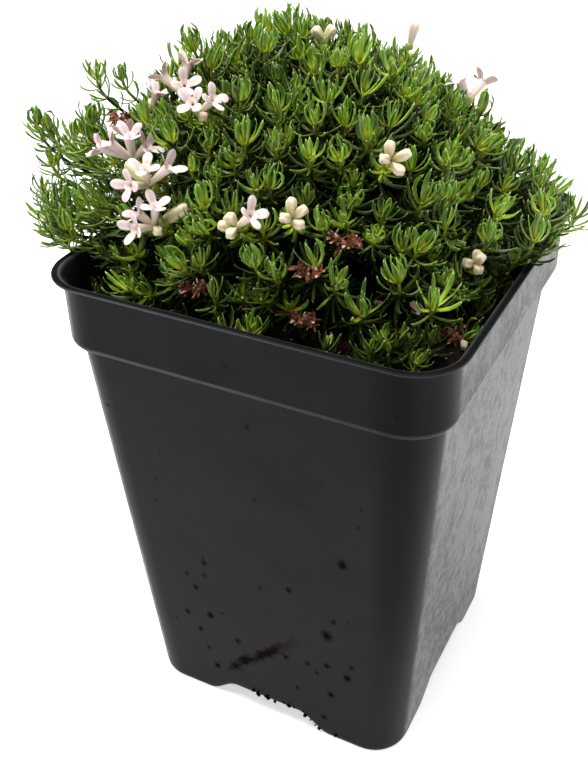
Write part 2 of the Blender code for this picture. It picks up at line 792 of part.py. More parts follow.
def largest_piece(mesh):
    """Fill sealed hollows and drop scraps: only the largest shell stays."""
    bm = bmesh.new()
    bm.from_mesh(mesh)
    shells = []
    waiting = set(bm.verts)
    while waiting:
        shell = set()
        front = [waiting.pop()]
        while front:
            vert = front.pop()
            shell.add(vert)
            for edge in vert.link_edges:
                other = edge.other_vert(vert)
                if other in waiting:
                    waiting.remove(other)
                    front.append(other)
        shells.append(shell)
    shells.sort(key=len)
    for shell in shells[:-1]:
        bmesh.ops.delete(bm, geom=list(shell), context="VERTS")
    bm.to_mesh(mesh)
    bm.free()
    return mesh


def fuse(name, core, repeats, material):
    """Join a core and what grows from it in one closed body."""
    body = add_object(name, core, material)
    group = bpy.data.collections.new(name)
    bpy.context.scene.collection.children.link(group)
    for mesh in repeats:
        group.objects.link(bpy.data.objects.new("repeat", mesh))
    join = body.modifiers.new("join", "BOOLEAN")
    join.operation = "UNION"
    join.solver = "MANIFOLD"
    join.operand_type = "COLLECTION"
    join.collection = group
    graph = bpy.context.evaluated_depsgraph_get()
    body.data = largest_piece(bpy.data.meshes.new_from_object(body.evaluated_get(graph)))
    body.modifiers.clear()
    for item in list(group.objects):
        bpy.data.objects.remove(item)
    bpy.data.collections.remove(group)
    body.data.materials.clear()
    body.data.materials.append(material)
    return body


def lay_out():
    """Cones of the leafy stems, with the sample directions that each one owns."""
    points = lattice(LAYOUT_SAMPLES)
    weights = np.array([reach_at(Vector(point)) ** 2 for point in points])
    seeds = settle(lattice(STEM_COUNT), points, weights)
    axes = [Vector(seed) for seed in seeds]
    owner = np.argmax(points @ seeds.T, axis=1)
    cones = []
    for index, axis in enumerate(axes):
        planes = neighbour_planes(index, axes, STEM_GAP) + [(UP, GAP)]
        mine = owner == index
        cones.append((Cone(axis, planes), points[mine], weights[mine]))
    return cones


Seat = namedtuple("Seat", "knob stem blooms")


def seat_head(head, cones):
    """Place a head's knob well inside the cone of the stem that carries it."""
    direction = heading(head.azimuth, head.elevation)
    stem = max(range(len(cones)), key=lambda index: direction.dot(cones[index][0].axis))
    for _ in range(4):
        for normal, _ in cones[stem][0].planes:
            short = STALK_INSET - normal.dot(direction)
            if short > 0:
                direction = (direction + normal * short).normalized()
    return Seat(CROWN + direction * head.reach, stem, head.blooms)


def shoot_directions(fixed_seeds, points, weights):
    """Spread a stem's shoots in its cone, round the flower stalks that stay put."""
    seeds = list(fixed_seeds)
    while len(seeds) < SHOOTS_PER_STEM:
        if seeds:
            nearest = np.max(points @ np.array(seeds).T, axis=1)
            seeds.append(points[np.argmin(nearest)])
        else:
            seeds.append(points[0])
    return settle(np.array(seeds), points, weights, kept=len(fixed_seeds))


def make_stem(index, cone, points, weights, seats, blooms, material):
    rng = random.Random(SEED * 1000 + index)
    mine = [seat for seat in seats if seat.stem == index]
    stalks = [tuple((seat.knob - CROWN).normalized()) for seat in mine]
    directions = [Vector(seed) for seed in shoot_directions(stalks, points, weights)]
    corners = cone.outline(CORE_INSET)
    cap = min(reach_at(direction) for direction in directions) - CORE_BELOW_TIPS
    for corner in corners:
        limit = wall_reach(corner.normalized(), WALL_CLEARANCE) / corner.length
        cap = min(cap, limit - WALL_CLEARANCE)
    shoots = []
    for k, direction in enumerate(directions):
        own = Cone(direction, cone.planes + neighbour_planes(k, directions, SHOOT_GAP))
        near = blooms.near(CROWN + direction * reach_at(direction), FLOWER_NEIGHBOURS)
        if k < len(mine):
            site = place_stalk(mine[k].knob, direction, cone, cap)
        else:
            site = place_shoot(direction, cone, cap, near, rng)
        if site is not None:
            shoots.append(shoot_mesh(site, own, near, rng))
    fuse(f"leafy_stem_{index + 1:02d}", core_mesh(cone, corners, cap, rng), shoots, material)


# Flowers, buds and dead flowers, joined at a small knob

def square_ring(bm, centre, axis, radius, turn):
    side, other = across(axis)
    loop = []
    for k in range(4):
        angle = turn + math.pi * (k + 0.5) / 2
        place = centre + (side * math.cos(angle) + other * math.sin(angle)) * radius
        loop.append(bm.verts.new(place))
    return loop


def open_flower(knob, axis, length, rng):
    """Four-sided tube with four pointed petals round a sunk throat."""
    bm = bmesh.new()
    turn = rng.uniform(0, math.pi / 2)
    mouth = knob + axis * length
    base = square_ring(bm, knob, axis, TUBE_RADIUS, turn)
    low = square_ring(bm, mouth - axis * THROAT_BAND, axis, THROAT_RADIUS, turn)
    high = square_ring(bm, mouth, axis, THROAT_RADIUS, turn)
    bm.faces.new(base[::-1])
    skin(bm, base, low)
    skin(bm, high, bm.verts.new(mouth - axis * THROAT_DEPTH))
    for k in range(4):
        j = (k + 1) % 4
        radial = (low[k].co + low[j].co) / 2 - (mouth - axis * THROAT_BAND)
        radial.normalize()
        half = axis.cross(radial) * PETAL_WIDTH / 2
        rise = PETAL_LENGTH * rng.uniform(*PETAL_RISE)
        middle = mouth + (radial * PETAL_LENGTH + axis * rise) * PETAL_BEND_AT
        under = middle - axis * THROAT_BAND
        blade = [bm.verts.new(place) for place in
                 (under - half, under + half, middle + half, middle - half)]
        skin(bm, [low[k], low[j], high[j], high[k]], blade)
        reach = THROAT_RADIUS + PETAL_LENGTH
        tip = mouth + radial * reach + axis * (rise - THROAT_BAND / 2)
        skin(bm, blade, bm.verts.new(tip))
    return mesh_from(bm, "flower")


def club(knob, axis, length, radius, droop, rng):
    """Closed bud, or a dead flower that droops and crumples."""
    bm = bmesh.new()
    turn = rng.uniform(0, math.pi / 2)
    loops = [square_ring(bm, knob, axis, TUBE_RADIUS, turn)]
    for share, width in CLUB_PROFILE:
        place = knob + axis * length * share - UP * droop * share
        swell = radius * width * (1 + CLUB_SPREAD * rng.uniform(-1, 1))
        loops.append(square_ring(bm, place, axis, swell, turn))
    bm.faces.new(loops[0][::-1])
    for first, second in zip(loops, loops[1:]):
        skin(bm, first, second)
    skin(bm, loops[-1], bm.verts.new(knob + axis * length - UP * droop))
    return mesh_from(bm, "club")


def make_head(name, knob, blooms, material, rng):
    bm = bmesh.new()
    made = bmesh.ops.create_icosphere(bm, subdivisions=1, radius=KNOB_RADIUS)
    bmesh.ops.translate(bm, verts=made["verts"], vec=knob)
    parts = []
    for bloom in blooms:
        axis = heading(bloom.heading, bloom.rise)
        if bloom.kind == "open":
            parts.append(open_flower(knob, axis, bloom.length, rng))
        elif bloom.kind == "bud":
            parts.append(club(knob, axis, bloom.length, BUD_RADIUS, 0.0, rng))
        else:
            parts.append(club(knob, axis, bloom.length, SPENT_RADIUS, SPENT_DROOP, rng))
    fuse(name, mesh_from(bm, "knob"), parts, material)


def main():
    clear_scene()
    plastic = finish("pot_plastic", (0.026, 0.025, 0.027), 0.42)
    compost = finish("compost", (0.022, 0.015, 0.010), 0.95)
    bark = finish("bark", (0.085, 0.055, 0.030), 0.90)
    leaf = finish("leaf_green", (0.075, 0.190, 0.022), 0.50)
    petal = finish("petal_pink", (0.800, 0.620, 0.600), 0.60)
    spent = finish("spent_brown", (0.210, 0.075, 0.045), 0.85)
    make_pot(plastic)
    soil = add_object("soil", soil_mesh(), compost)
    soil.location = (*POT_AXIS, 0)
    add_object("woody_crown", crown_mesh(), bark)
    cones = lay_out()
    flowers = [seat_head(head, cones) for head in FLOWER_HEADS]
    dead = [seat_head(head, cones) for head in DEAD_HEADS]
    husks_knob = Vector((*(POT_AXIS + HUSKS_PLACE), SOIL_TOP + HUSKS_HEIGHT))
    blooms = Blooms()
    for seat in flowers + dead:
        blooms.add(seat.knob, seat.blooms)
    blooms.add(husks_knob, HUSKS)
    for index, (cone, points, weights) in enumerate(cones):
        make_stem(index, cone, points, weights, flowers + dead, blooms, leaf)
    rng = random.Random(SEED)
    for number, seat in enumerate(flowers, 1):
        make_head(f"flower_head_{number:02d}", seat.knob, seat.blooms, petal, rng)
    for number, seat in enumerate(dead, 1):
        make_head(f"dead_head_{number:02d}", seat.knob, seat.blooms, spent, rng)
    make_head("fallen_husks", husks_knob, HUSKS, spent, rng)


main()
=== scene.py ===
"""The look of a cushion of small-leaved woodruff in bloom, in a square nursery pot.

Metres, +Z up, in the frame of the solids. Each leafy stem, flower head and dead
head is a finer piece in the place of its solid, and so are the fallen husks, the
pot and the compost. The woody crown keeps its solid, with bark on it. The layout
of the cushion repeats that of the solids.
"""

import json
import math
import random
from collections import namedtuple

import bmesh
import bpy
import numpy as np
from mathutils import Matrix, Vector, noise

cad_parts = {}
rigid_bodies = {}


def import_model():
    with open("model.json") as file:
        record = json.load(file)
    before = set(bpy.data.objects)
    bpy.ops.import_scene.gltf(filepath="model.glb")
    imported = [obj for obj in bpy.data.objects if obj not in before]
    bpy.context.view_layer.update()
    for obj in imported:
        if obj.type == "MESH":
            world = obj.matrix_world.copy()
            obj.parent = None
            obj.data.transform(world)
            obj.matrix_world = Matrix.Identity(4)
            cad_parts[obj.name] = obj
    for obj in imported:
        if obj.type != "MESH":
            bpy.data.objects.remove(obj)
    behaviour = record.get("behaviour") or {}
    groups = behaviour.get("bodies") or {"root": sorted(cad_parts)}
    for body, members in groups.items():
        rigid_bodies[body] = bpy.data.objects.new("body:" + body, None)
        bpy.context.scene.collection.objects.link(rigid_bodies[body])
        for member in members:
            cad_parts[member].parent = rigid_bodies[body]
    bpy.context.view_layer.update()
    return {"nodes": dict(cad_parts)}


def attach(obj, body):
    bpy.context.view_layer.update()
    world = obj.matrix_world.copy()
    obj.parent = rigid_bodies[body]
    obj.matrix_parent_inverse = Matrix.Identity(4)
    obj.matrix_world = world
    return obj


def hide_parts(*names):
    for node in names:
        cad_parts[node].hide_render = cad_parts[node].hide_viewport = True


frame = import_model()

UP = Vector((0, 0, 1))

# Pot. The looks round its corners a little more than the solids and thin its lip
POT_AXIS = Vector((0.0067, -0.0015))
POT_HEIGHT = 0.120
LIP_HALF = 0.045
COLLAR_HALF = 0.0432
SHOULDER_HALF = 0.0412
BASE_HALF = 0.0344
LIP_RADIUS = 0.011
COLLAR_RADIUS = 0.0102
BODY_RADIUS = 0.0088
COLLAR_HEIGHT = 0.015
SHOULDER_STEP = 0.0015
LIP_EDGE = 0.0007
# Depth below the rim, inset from the lip's outer face and painted highlight, up and over the thin
# lip
LIP_ROLL = (
    (0.00072, 0.0007, 0.0), (0.0007, 0.0003, 0.0), (0.00062, 0.00008, 0.4), (0.00045, 0.0, 1.0),
    (0.00025, 0.00002, 0.8), (0.0001, 0.00012, 0.1), (0.00002, 0.0004, 0.0), (0.0, 0.0008, 0.0),
    (0.00006, 0.0012, 0.1), (0.0002, 0.0015, 1.0), (0.0005, 0.0018, 0.4), (0.001, 0.0021, 0.0),
    (0.0018, 0.0025, 0.0),
)
# Height over the top of the body, inset from the collar's face and radius, and painted highlight,
# at the step
STEP_PROFILE = (
    (0.0006, 0.0008, 0.0006, 1.0), (0.0009, 0.0003, 0.0003, 0.3), (0.0012, 0.00006, 0.0, 0.2),
    (0.0016, 0.0, 0.0, 0.9), (0.0020, 0.0, 0.0, 0.0),
)
# Depth below the lip's edge, and how much wider and rounder than the collar
NECK_PROFILE = ((0.0008, 0.0, 0.0), (0.0003, 0.0001, 0.0), (0.0001, 0.0004, 0.0003))
WALL = 0.0011
FLOOR = 0.0012
EDGE = 0.0008
FOOT_ARCH = 0.005
ARCH_OUTER = 0.017
ARCH_INNER = 0.009
PLAIN_BODY_FROM = 0.011
DRAIN_RADIUS = 0.0035
# Crumbs of dirt on the front arch: how many, between which places along it, and their radius
DIRT_CRUMBS = 30
DIRT_ALONG = (0.002, 0.026)
DIRT_RADIUS = (0.00018, 0.00055)
# Specks on the front wall: place along it, height and size in millimetres
SPECKS = (
    (24.6, 38.7, 1.0), (29.0, 64.0, 0.8), (-7.2, 30.0, 0.65), (-10.8, 23.3, 0.5),
    (-14.0, 28.1, 0.5), (-12.4, 42.6, 0.4), (-6.9, 48.6, 0.45), (0.0, 24.0, 0.5),
    (-9.0, 16.9, 0.4), (15.5, 49.8, 0.5), (7.9, 46.8, 0.35), (-10.3, 38.6, 0.5),
    (24.2, 27.7, 0.5), (21.5, 23.5, 0.35), (29.5, 25.9, 0.7), (30.7, 30.4, 0.45),
    (25.0, 17.1, 0.6), (15.9, 14.8, 0.4), (19.2, 25.9, 0.45), (26.5, 44.4, 0.45),
    (13.3, 25.0, 0.5), (-7.2, 10.7, 0.6), (-3.7, 32.4, 0.35), (22.8, 7.0, 0.5),
    (-28.3, 53.8, 0.3), (8.8, 75.0, 0.3), (8.6, 95.0, 0.35), (-14.7, 79.8, 0.25),
    (-16.8, 71.6, 0.3), (20.6, 78.4, 0.25), (33.5, 82.2, 0.25), (33.0, 76.7, 0.3),
    (-7.0, 50.1, 0.3), (-17.9, 64.4, 0.25), (25.0, 86.5, 0.2), (-7.2, 44.3, 0.4),
)
DRAIN_OFFSET = 0.022
CORNER_STEPS = 10
ARCH_STEPS = 6
CORNER_HOLD = 0.0008
SHOULDER_HEIGHT = POT_HEIGHT - COLLAR_HEIGHT

# Compost and crown
GAP = 0.0003
CHIP_PLACE = Vector((0.0453, -0.0201, 0.1118))
CHIP_SIZE = (0.0006, 0.0005, 0.0009)
SOIL_TOP = POT_HEIGHT - 0.010
SOIL_RINGS = 26
# Scale and height of the lumps on top
SOIL_LUMPS = ((160, 0.0007), (520, 0.0004))
CRUMB_SHAPES = 5
CRUMB_SEED = 3
# Crumbs a square metre, the least one's size, and how much larger they get
CRUMB_DENSITY = 300000.0
CRUMB_LEAST = 0.0006
CRUMB_MORE = 0.0020
GRIT_SHARE = 0.02
CROWN_OFFSET = Vector((-0.005, 0.008))
CROWN = Vector((*(POT_AXIS + CROWN_OFFSET), SOIL_TOP + 0.001))

# Cushion, as in the solids
SEED = 11
STEM_SEEDS = SEED * 7000
SETTLE_ROUNDS = 20
STEM_COUNT = 36
SHOOTS_PER_STEM = 4
LAYOUT_SAMPLES = 6000
REACH = 0.0490
Lobe = namedtuple("Lobe", "azimuth elevation change spread")
LOBES = (
    Lobe(-148, 24, 0.0170, 13),
    Lobe(-170, 58, 0.0060, 18),
    Lobe(14, 8, 0.0100, 15),
    Lobe(90, 14, -0.0080, 34),
    Lobe(-46, 5, 0.0060, 14),
)
STRAY_REACH_FROM = 0.056
STRAY_RISE = 0.26
WALL_MARGIN = 0.0025
WALL_CLEARANCE = 0.0010
RIM_CLEARANCE = 0.0006
SOIL_CLEARANCE = 0.0006
CORE_START = 0.0068
CORE_INSET = 0.028
CORE_BELOW_TIPS = 0.0140
# How far shoots sink into the core, and the age and tone of its bare wood; that age colours it near
# black, as painted shade deep in the cushion
CORE_SINK = 0.001
CORE_AGE = 2.2
CORE_TONE = 0.4

# Shoots and leaves
CUPS_PER_STEM = 11
CUP_HEIGHT = 0.0048
SHOOT_LEAN = 3.2
LEAN_SPREAD = 0.85
STRAY_SPREAD = 0.12
# How often and how far a shoot is shortened until its top is clear
TIP_DROPS = 8
TIP_DROP = 0.0012
REACH_SPREAD = 0.055
# Share of the reach of the shoots that are added beside the longest ones of the solids
FAR_REACHES = (0.80, 0.94)
TWIG_RADIUS = 0.00032
TWIG_SIDES = 5
TWIG_STEP = 0.0016
TWIG_TAPER = 0.25
TWIG_TONE = 0.5
# Share of a twig over which its slope is taken, each way
SLOPE_STEP = 0.02
# Age at the foot and at the top of a twig and of a flower head's stalk
TWIG_AGES = (1.2, 0.35)
STALK_AGES = (1.0, 0.15)
LEAF_WIDTH = 0.00086
LEAF_NOD = 0.22
NODE_RADIUS = 0.00042
LEAF_FOOT = 0.7
# Least and most length and width of a leaf beside its whorl's, and age beside its whorl's
LEAF_LENGTHS = (0.80, 1.14)
LEAF_WIDTHS = (0.85, 1.1)
LEAF_AGES = (-0.05, 0.08)
# Uneven steps from leaf to leaf, and the share of a leaf's tone that its whorl sets
LEAF_STEPS = (-0.24, 0.24)
WHORL_TONE = 0.65
ANY_TURN = (0, 6.28)
# Lean from the shoot's axis in degrees, at a leaf's foot, middle and tip
BLADE_LEANS = (
    (18, 6, -16),
    (58, 16, -50),
    (78, 20, -96),
    (52, 34, 6),
    (72, 50, -4),
    (88, 62, 22),
    (100, 116, 104),
)
HEART, CUP, CLAW, FLARE, OPEN, SPREAD, FALLEN = range(7)
MIDLINE_STEPS = 40
# Sideways bend of a leaf's tip in leaf widths, and twist along it in degrees, for its two sorts
BLADE_BENDS = ((0.55, 35), (-0.75, -50))
# Height of a blade's edges, groove and keel in leaf lengths, and tilt by the twist
BLADE_EDGE = 0.012
BLADE_GROOVE = 0.010
BLADE_KEEL = 0.038
BLADE_TILT = 0.15
# Station along a blade and its share of the full width
BLADE_OUTLINE = ((0.0, 0.66), (0.24, 0.90), (0.50, 1.00), (0.74, 0.90), (0.91, 0.54))

# Flower heads and dead heads, as in the solids
Bloom = namedtuple("Bloom", "kind heading rise length")
Head = namedtuple("Head", "azimuth elevation reach blooms")


def bunch(words):
    """Blooms from each one's kind, heading, rise and length in tenths of a millimetre."""
    rows = (row.split() for row in words.split(", "))
    return tuple(Bloom(kind, int(turn), int(rise), int(tenths) / 10000)
                 for kind, turn, rise, tenths in rows)


def heads(*rows):
    """Heads from rows of azimuth, elevation, reach in millimetres and blooms."""
    return tuple(Head(azimuth, elevation, reach / 1000, bunch(words))
                 for azimuth, elevation, reach, words in rows)


def places(*rows):
    """Places from rows in tenths of a millimetre."""
    return tuple(Vector([value / 10000 for value in row]) for row in rows)


FLOWER_HEADS = heads(
    (-143, 54, 48, "open 87 61 69, open -170 41 57, open -40 43 48"),
    (-122, 53, 47, "open -80 44 52, open -12 42 59, bud -42 14 36"),
    (-158, 42, 49, "open 117 76 42, bud -91 61 36"),
    (-135, 34, 49, "open -168 22 72, open -157 51 52, open -62 70 50, bud 27 45 49"),
    (-118, 32, 49, "bud -179 47 62, open -63 66 53, open 9 45 64"),
    (-114, 24, 47, "open -172 36 66, open -52 52 56, open -106 16 55, bud 26 28 69, bud -48 14 43"),
    (-87, 30, 47, "open -16 42 63, bud -119 53 42, bud -93 11 44"),
    (-72, 33, 47, "bud -50 69 49, bud -16 48 44, bud -78 38 41, bud -32 16 35"),
    (-42, 45, 48, "bud -61 61 45, bud -24 33 51, bud -76 30 46, bud -41 4 47"),
    (-21, 14, 46, "bud -55 44 41, bud -95 36 38"),
    (-47, 88, 48, "bud 49 63 32, bud -160 58 32"),
    (31, 69, 49, "bud 62 74 50"),
    (14, 50, 48, "open -174 61 45, open 64 41 51"),
)
# Blooms shown on the fullest heads, which crowd more than their solids
FULLER_HEADS = {f"flower_head_{number:02d}": bunch(words) for number, words in (
    (1, "funnel 72 68 66, funnel -168 44 56, open -40 43 48"),
    (3, "funnel 20 66 38, bud 110 30 24"),
    (4, "funnel -150 24 74, funnel -136 44 62, funnel -58 68 68, funnel -6 42 60, "
        "funnel 140 52 58"),
    (5, "bud -179 47 62, open -63 66 53, funnel 15 42 64, open -98 20 60"),
    (6, "funnel -140 48 46, open -38 70 60, open -106 16 55, bud 30 38 76, bud -48 20 43"),
    (7, "open -16 42 63, bud -119 62 34, bud -86 11 36, bud -140 22 34, bud -170 50 30"),
    (10, "bud -42 48 36, bud -102 30 34, bud 20 78 28, bud -50 4 28"),
)}
# Least and most flush of lilac, on most heads and on those that differ
FLUSH = (0.0, 0.4)
HEAD_FLUSH = {"flower_head_04": (0.2, 0.8), "flower_head_01": (0.0, 0.3),
              "flower_head_12": (2.0, 2.2)}
SPENT_CLUSTER = "spent 20 40 34, spent 170 30 36"
DEAD_HEADS = heads(
    (-98, 12, 45, SPENT_CLUSTER),
    (-69, 9, 46, SPENT_CLUSTER),
    (-59, 26, 46, SPENT_CLUSTER),
    (-67, 20, 46, SPENT_CLUSTER),
    (-149, 37, 53, SPENT_CLUSTER),
)
HUSKS_PLACE = Vector((0.0345, -0.0150))
HUSKS = bunch("spent 200 8 32, spent -60 12 30, spent 70 14 34")
HUSKS_HEIGHT = 0.0018
# A pale dry bract, and where small brown bits hang among the leaves beside it
BRACT_PLACE = Vector((0.0350, -0.0222, 0.1200))
BRACT_AXIS = Vector((0.72, -0.55, -0.42))
BRACT_SIZE = (0.0038, 0.0017)
BRACT_CREAM = 0.72
BITS = places((301, -266, 1205), (310, -215, 1230), (345, -112, 1281), (386, -214, 1165))
BIT_FLAKES = 7
KNOB_RADIUS = 0.0010
HEAD_GAP = 0.00035
STALK_INSET = 0.036
STALK_LEAN = 0.2
STALK_TO_KNOB = 0.9
SEAT_ROUNDS = 4
BRACTS_BELOW = 0.0014
BUD_SPLAY = 0.5
BUD_RADIUS = 0.00100
# Buds longer than this are thicker by a share of the rest
BUD_SLIM_TO = 0.0050
BUD_SWELL = 0.14
BUD_LONGER = 1.04
BUD_FLUSH = 0.3
THROAT_RADIUS = 0.00110
PETAL_LENGTH = 0.0026
PETAL_RISE = (-0.1, 0.3)
FLOWER_KEEP_OUT = 0.0036
FLOWER_KEEP_BELOW = 0.0010
FLOWER_KEEP_ABOVE = 0.0030
TUBE_KEEP_OUT = 0.0009
FLOWER_NEIGHBOURS = 0.018
# Direction to the front, from where the buds and dead heads show between the leaves
FRONT_VIEW = Vector((0.32, -0.80, 0.507))
# Where leaves are kept off in front of a small form
CLEAR_AHEAD = (0.0025, 0.0065, 0.0105)
BRACT_AHEAD = 0.010
# Heads that show whole from the front, and a bud beside the sixth flower head's knob
CLEAR_FLOWERS = (2, 9)
CLEAR_DEAD = (0, 1, 3)
SIXTH_HEAD = 5
SIDE_BUD = (30, 38)
SIDE_BUD_OUT = 0.006


# Node trees

def sum_of(operation, backwards=False):
    """A method that does one sum on an output and what it is given."""
    def result(self, *others):
        values = (*others, self) if backwards else (self, *others)
        return self.graph.node("ShaderNodeMath", dict(enumerate(values)), operation=operation)
    return result


class Link:
    """An output in a node tree, with the sums that can be done on it."""

    __add__ = __radd__ = sum_of("ADD")
    __sub__ = sum_of("SUBTRACT")
    __rsub__ = sum_of("SUBTRACT", backwards=True)
    __mul__ = __rmul__ = sum_of("MULTIPLY")
    __pow__ = sum_of("POWER")
    __abs__ = sum_of("ABSOLUTE")
    least = sum_of("MINIMUM")
    most = sum_of("MAXIMUM")

    def __init__(self, graph, socket):
        self.graph = graph
        self.socket = socket

    def over(self, start, end):
        """0 below the start, 1 above the end, smooth between them."""
        return self.graph.node("ShaderNodeMapRange",
                               {"Value": self, "From Min": start, "From Max": end},
                               interpolation_type="SMOOTHSTEP")


class Graph:
    """A node tree that is built one node at a time."""

    def __init__(self, tree):
        self.tree = tree

    def node(self, kind, inputs=None, output=0, **settings):
        made = self.tree.nodes.new(kind)
        for name, value in settings.items():
            setattr(made, name, value)
        for name, value in (inputs or {}).items():
            if isinstance(value, Link):
                self.tree.links.new(value.socket, made.inputs[name])
            else:
                made.inputs[name].default_value = value
        return Link(self, made.outputs[output]) if made.outputs else made

    def attributes(self, names):
        return [self.node("ShaderNodeAttribute", output="Fac", attribute_name=name)
                for name in names.split()]

    def place(self):
        return self.node("ShaderNodeTexCoord", output="Object")

    def noise(self, scale, detail=3.0, roughness=0.5, stretch=None):
        place = self.place()
        if stretch:
            place = self.node("ShaderNodeVectorMath", {0: place, 1: stretch}, operation="MULTIPLY")
        return self.node("ShaderNodeTexNoise", {"Vector": place, "Scale": scale,
                                                "Detail": detail, "Roughness": roughness})

    def mix(self, share, first, second, how="MIX"):
        """Blend two colours."""
        ends = {0: share}
        for slot, value in ((6, first), (7, second)):
            ends[slot] = value if isinstance(value, Link) else (*value, 1.0)
        return self.node("ShaderNodeMix", ends, 2, data_type="RGBA", blend_type=how)

    def coats(self, colour, *coats):
        """A colour under others, each with its share."""
        for share, coat in coats:
            colour = self.mix(share, colour, coat)
        return colour

    def blend(self, share, first, second):
        """Blend two surfaces."""
        return self.node("ShaderNodeMixShader", {0: share, 1: first, 2: second})

    def bump(self, height, distance, strength):
        return self.node("ShaderNodeBump",
                         {"Height": height, "Distance": distance, "Strength": strength})

    def surface(self, colour, roughness, specular, normal=None, **more):
        inputs = {"Base Color": colour, "Roughness": roughness, "Specular IOR Level": specular}
        if normal is not None:
            inputs["Normal"] = normal
        inputs.update((name.replace("_", " "), value) for name, value in more.items())
        return self.node("ShaderNodeBsdfPrincipled", inputs)

    def stored(self, name, kind="FLOAT"):
        """A value that a mesh carries, by name."""
        return self.node("GeometryNodeInputNamedAttribute", {0: name}, data_type=kind)

    def repeat(self, points, shelf, inputs):
        """Real copies of a shelf's meshes on points, each with its turn and size."""
        shapes = self.node("GeometryNodeCollectionInfo", {0: shelf, 1: True, 2: True})
        copies = self.node("GeometryNodeInstanceOnPoints",
                           {0: points, 2: shapes, 3: True, **inputs})
        return self.node("GeometryNodeRealizeInstances", {0: copies})

    def join(self, *pieces):
        joined = self.tree.nodes.new("GeometryNodeJoinGeometry")
        for piece in pieces:
            self.tree.links.new(piece.socket, joined.inputs[0])
        return Link(self, joined.outputs[0])


def distance(across, along):
    """Length of two offsets at right angles to each other."""
    return (across * across + along * along) ** 0.5


def material(name, build):
    """A material whose surface is the shader node that build returns."""
    made = bpy.data.materials.new(name)
    made.use_nodes = True
    made.node_tree.nodes.clear()
    graph = Graph(made.node_tree)
    surface = build(graph)
    graph.node("ShaderNodeOutputMaterial", {"Surface": surface})
    return made


def leaf_look(graph):
    """Yellow-green when young, dark when old, and dry or bare wood beyond that. Old leaves and bare
    wood are near black partly as painted shade; pale edges and tips are partly painted glints.
    """
    age, tone, along, edge = graph.attributes("age tone along edge")
    mottle = graph.noise(900.0, 2.0)
    reach = along.over(0.04, 0.68)
    young = graph.mix(reach, (0.52, 0.60, 0.018), (0.150, 0.330, 0.011))
    grown = graph.mix(reach, (0.210, 0.290, 0.008), (0.026, 0.100, 0.0030))
    # Old leaves, lower down the shoots and deeper in the cushion, are near black: partly their own
    # darker colour, partly painted shade between the shoots
    old = graph.mix(tone, (0.0040, 0.0105, 0.0008), (0.0130, 0.0260, 0.0018))
    fresh = 1.0 - age.over(0.34, 0.75)
    # Pale along the edges and at the tips, most on fresh leaves: partly the leaf's paler margins
    # and tip, partly painted glints
    pale = (edge.over(0.70, 1.0) * 0.62 + along.over(0.86, 1.0) * 0.5) * (fresh * 0.75 + 0.25)
    colour = graph.coats(graph.mix((age * 2.2).least(1.0), young, grown),
                         (age.over(0.36, 0.66), old),
                         (age.over(1.05, 1.5), (0.060, 0.032, 0.014)),
                         # Past that, the core's bare wood is near black, as painted shade deep
                         # inside the cushion
                         (age.over(1.75, 2.0), (0.0030, 0.0026, 0.0014)),
                         (pale, (0.50, 0.59, 0.20)))
    shade = 0.47 + tone * 0.80 + (mottle - 0.5) * 0.40
    grey = graph.node("ShaderNodeCombineColor", {0: shade, 1: shade, 2: shade})
    colour = graph.mix(1.0, colour, grey, "MULTIPLY")
    ribs = graph.bump(graph.noise(420.0), 0.00012, 0.5)
    glossy = graph.surface(colour, 0.24 + mottle * 0.14, 0.42, ribs, Subsurface_Weight=0.2,
                           Subsurface_Radius=(0.6, 1.0, 0.15), Subsurface_Scale=0.0007)
    dull = graph.surface(colour, 0.45 + mottle * 0.2, 0.03, ribs)
    return graph.blend(age.over(0.40, 0.85), glossy, dull)


def petal_look(graph):
    """Zones run from 0 up the tube and 1 over a petal, 2 on for a bud, below 0 in a throat."""
    zone, tone, edge, groove = graph.attributes("zone tone edge groove")
    tube = graph.mix(zone.over(0.0, 0.95), (0.62, 0.56, 0.32), (0.88, 0.73, 0.67))
    petal = graph.mix(zone.over(1.0, 1.4), (0.66, 0.49, 0.48), (0.74, 0.61, 0.59))
    cream = graph.mix(zone.over(2.0, 2.4), (0.30, 0.36, 0.07), (0.58, 0.52, 0.28))
    cream = graph.mix(zone.over(2.4, 3.2), cream, (0.68, 0.61, 0.41))
    throat = 1.0 - zone.over(-0.9, -0.1)
    veins = graph.noise(1500.0, 2.0, stretch=(1.0, 1.0, 0.35))
    colour = graph.coats(tube, (zone.over(0.9, 1.15), petal), (zone.over(1.95, 2.0), cream),
                         (edge * 0.5, (0.80, 0.70, 0.64)), (tone * 0.7, (0.78, 0.60, 0.65)),
                         # Darker along a petal's midline and in the creases between a bud's lobes:
                         # partly the midline's deeper colour, partly painted shade in the creases
                         (groove * 0.55, (0.40, 0.28, 0.20)),
                         (throat * 0.9, (0.22, 0.020, 0.030)),
                         ((veins - 0.42) * 0.35, (0.60, 0.38, 0.40)))
    return graph.surface(colour, 0.5, 0.25, graph.bump(veins, 0.0001, 0.6),
                         Subsurface_Weight=0.2, Subsurface_Radius=(1.0, 0.7, 0.6),
                         Subsurface_Scale=0.0006)


def spent_look(graph):
    zone, tone = graph.attributes("zone tone")
    crumple = graph.noise(1400.0, 4.0, 0.6)
    colour = graph.mix(crumple.over(0.35, 0.65), (0.032, 0.010, 0.006), (0.28, 0.088, 0.040))
    colour = graph.mix(zone.over(0.5, 0.9) * tone.over(0.45, 0.8), colour, (0.80, 0.62, 0.46))
    return graph.surface(colour, 0.72, 0.25, graph.bump(crumple, 0.0003, 0.8))


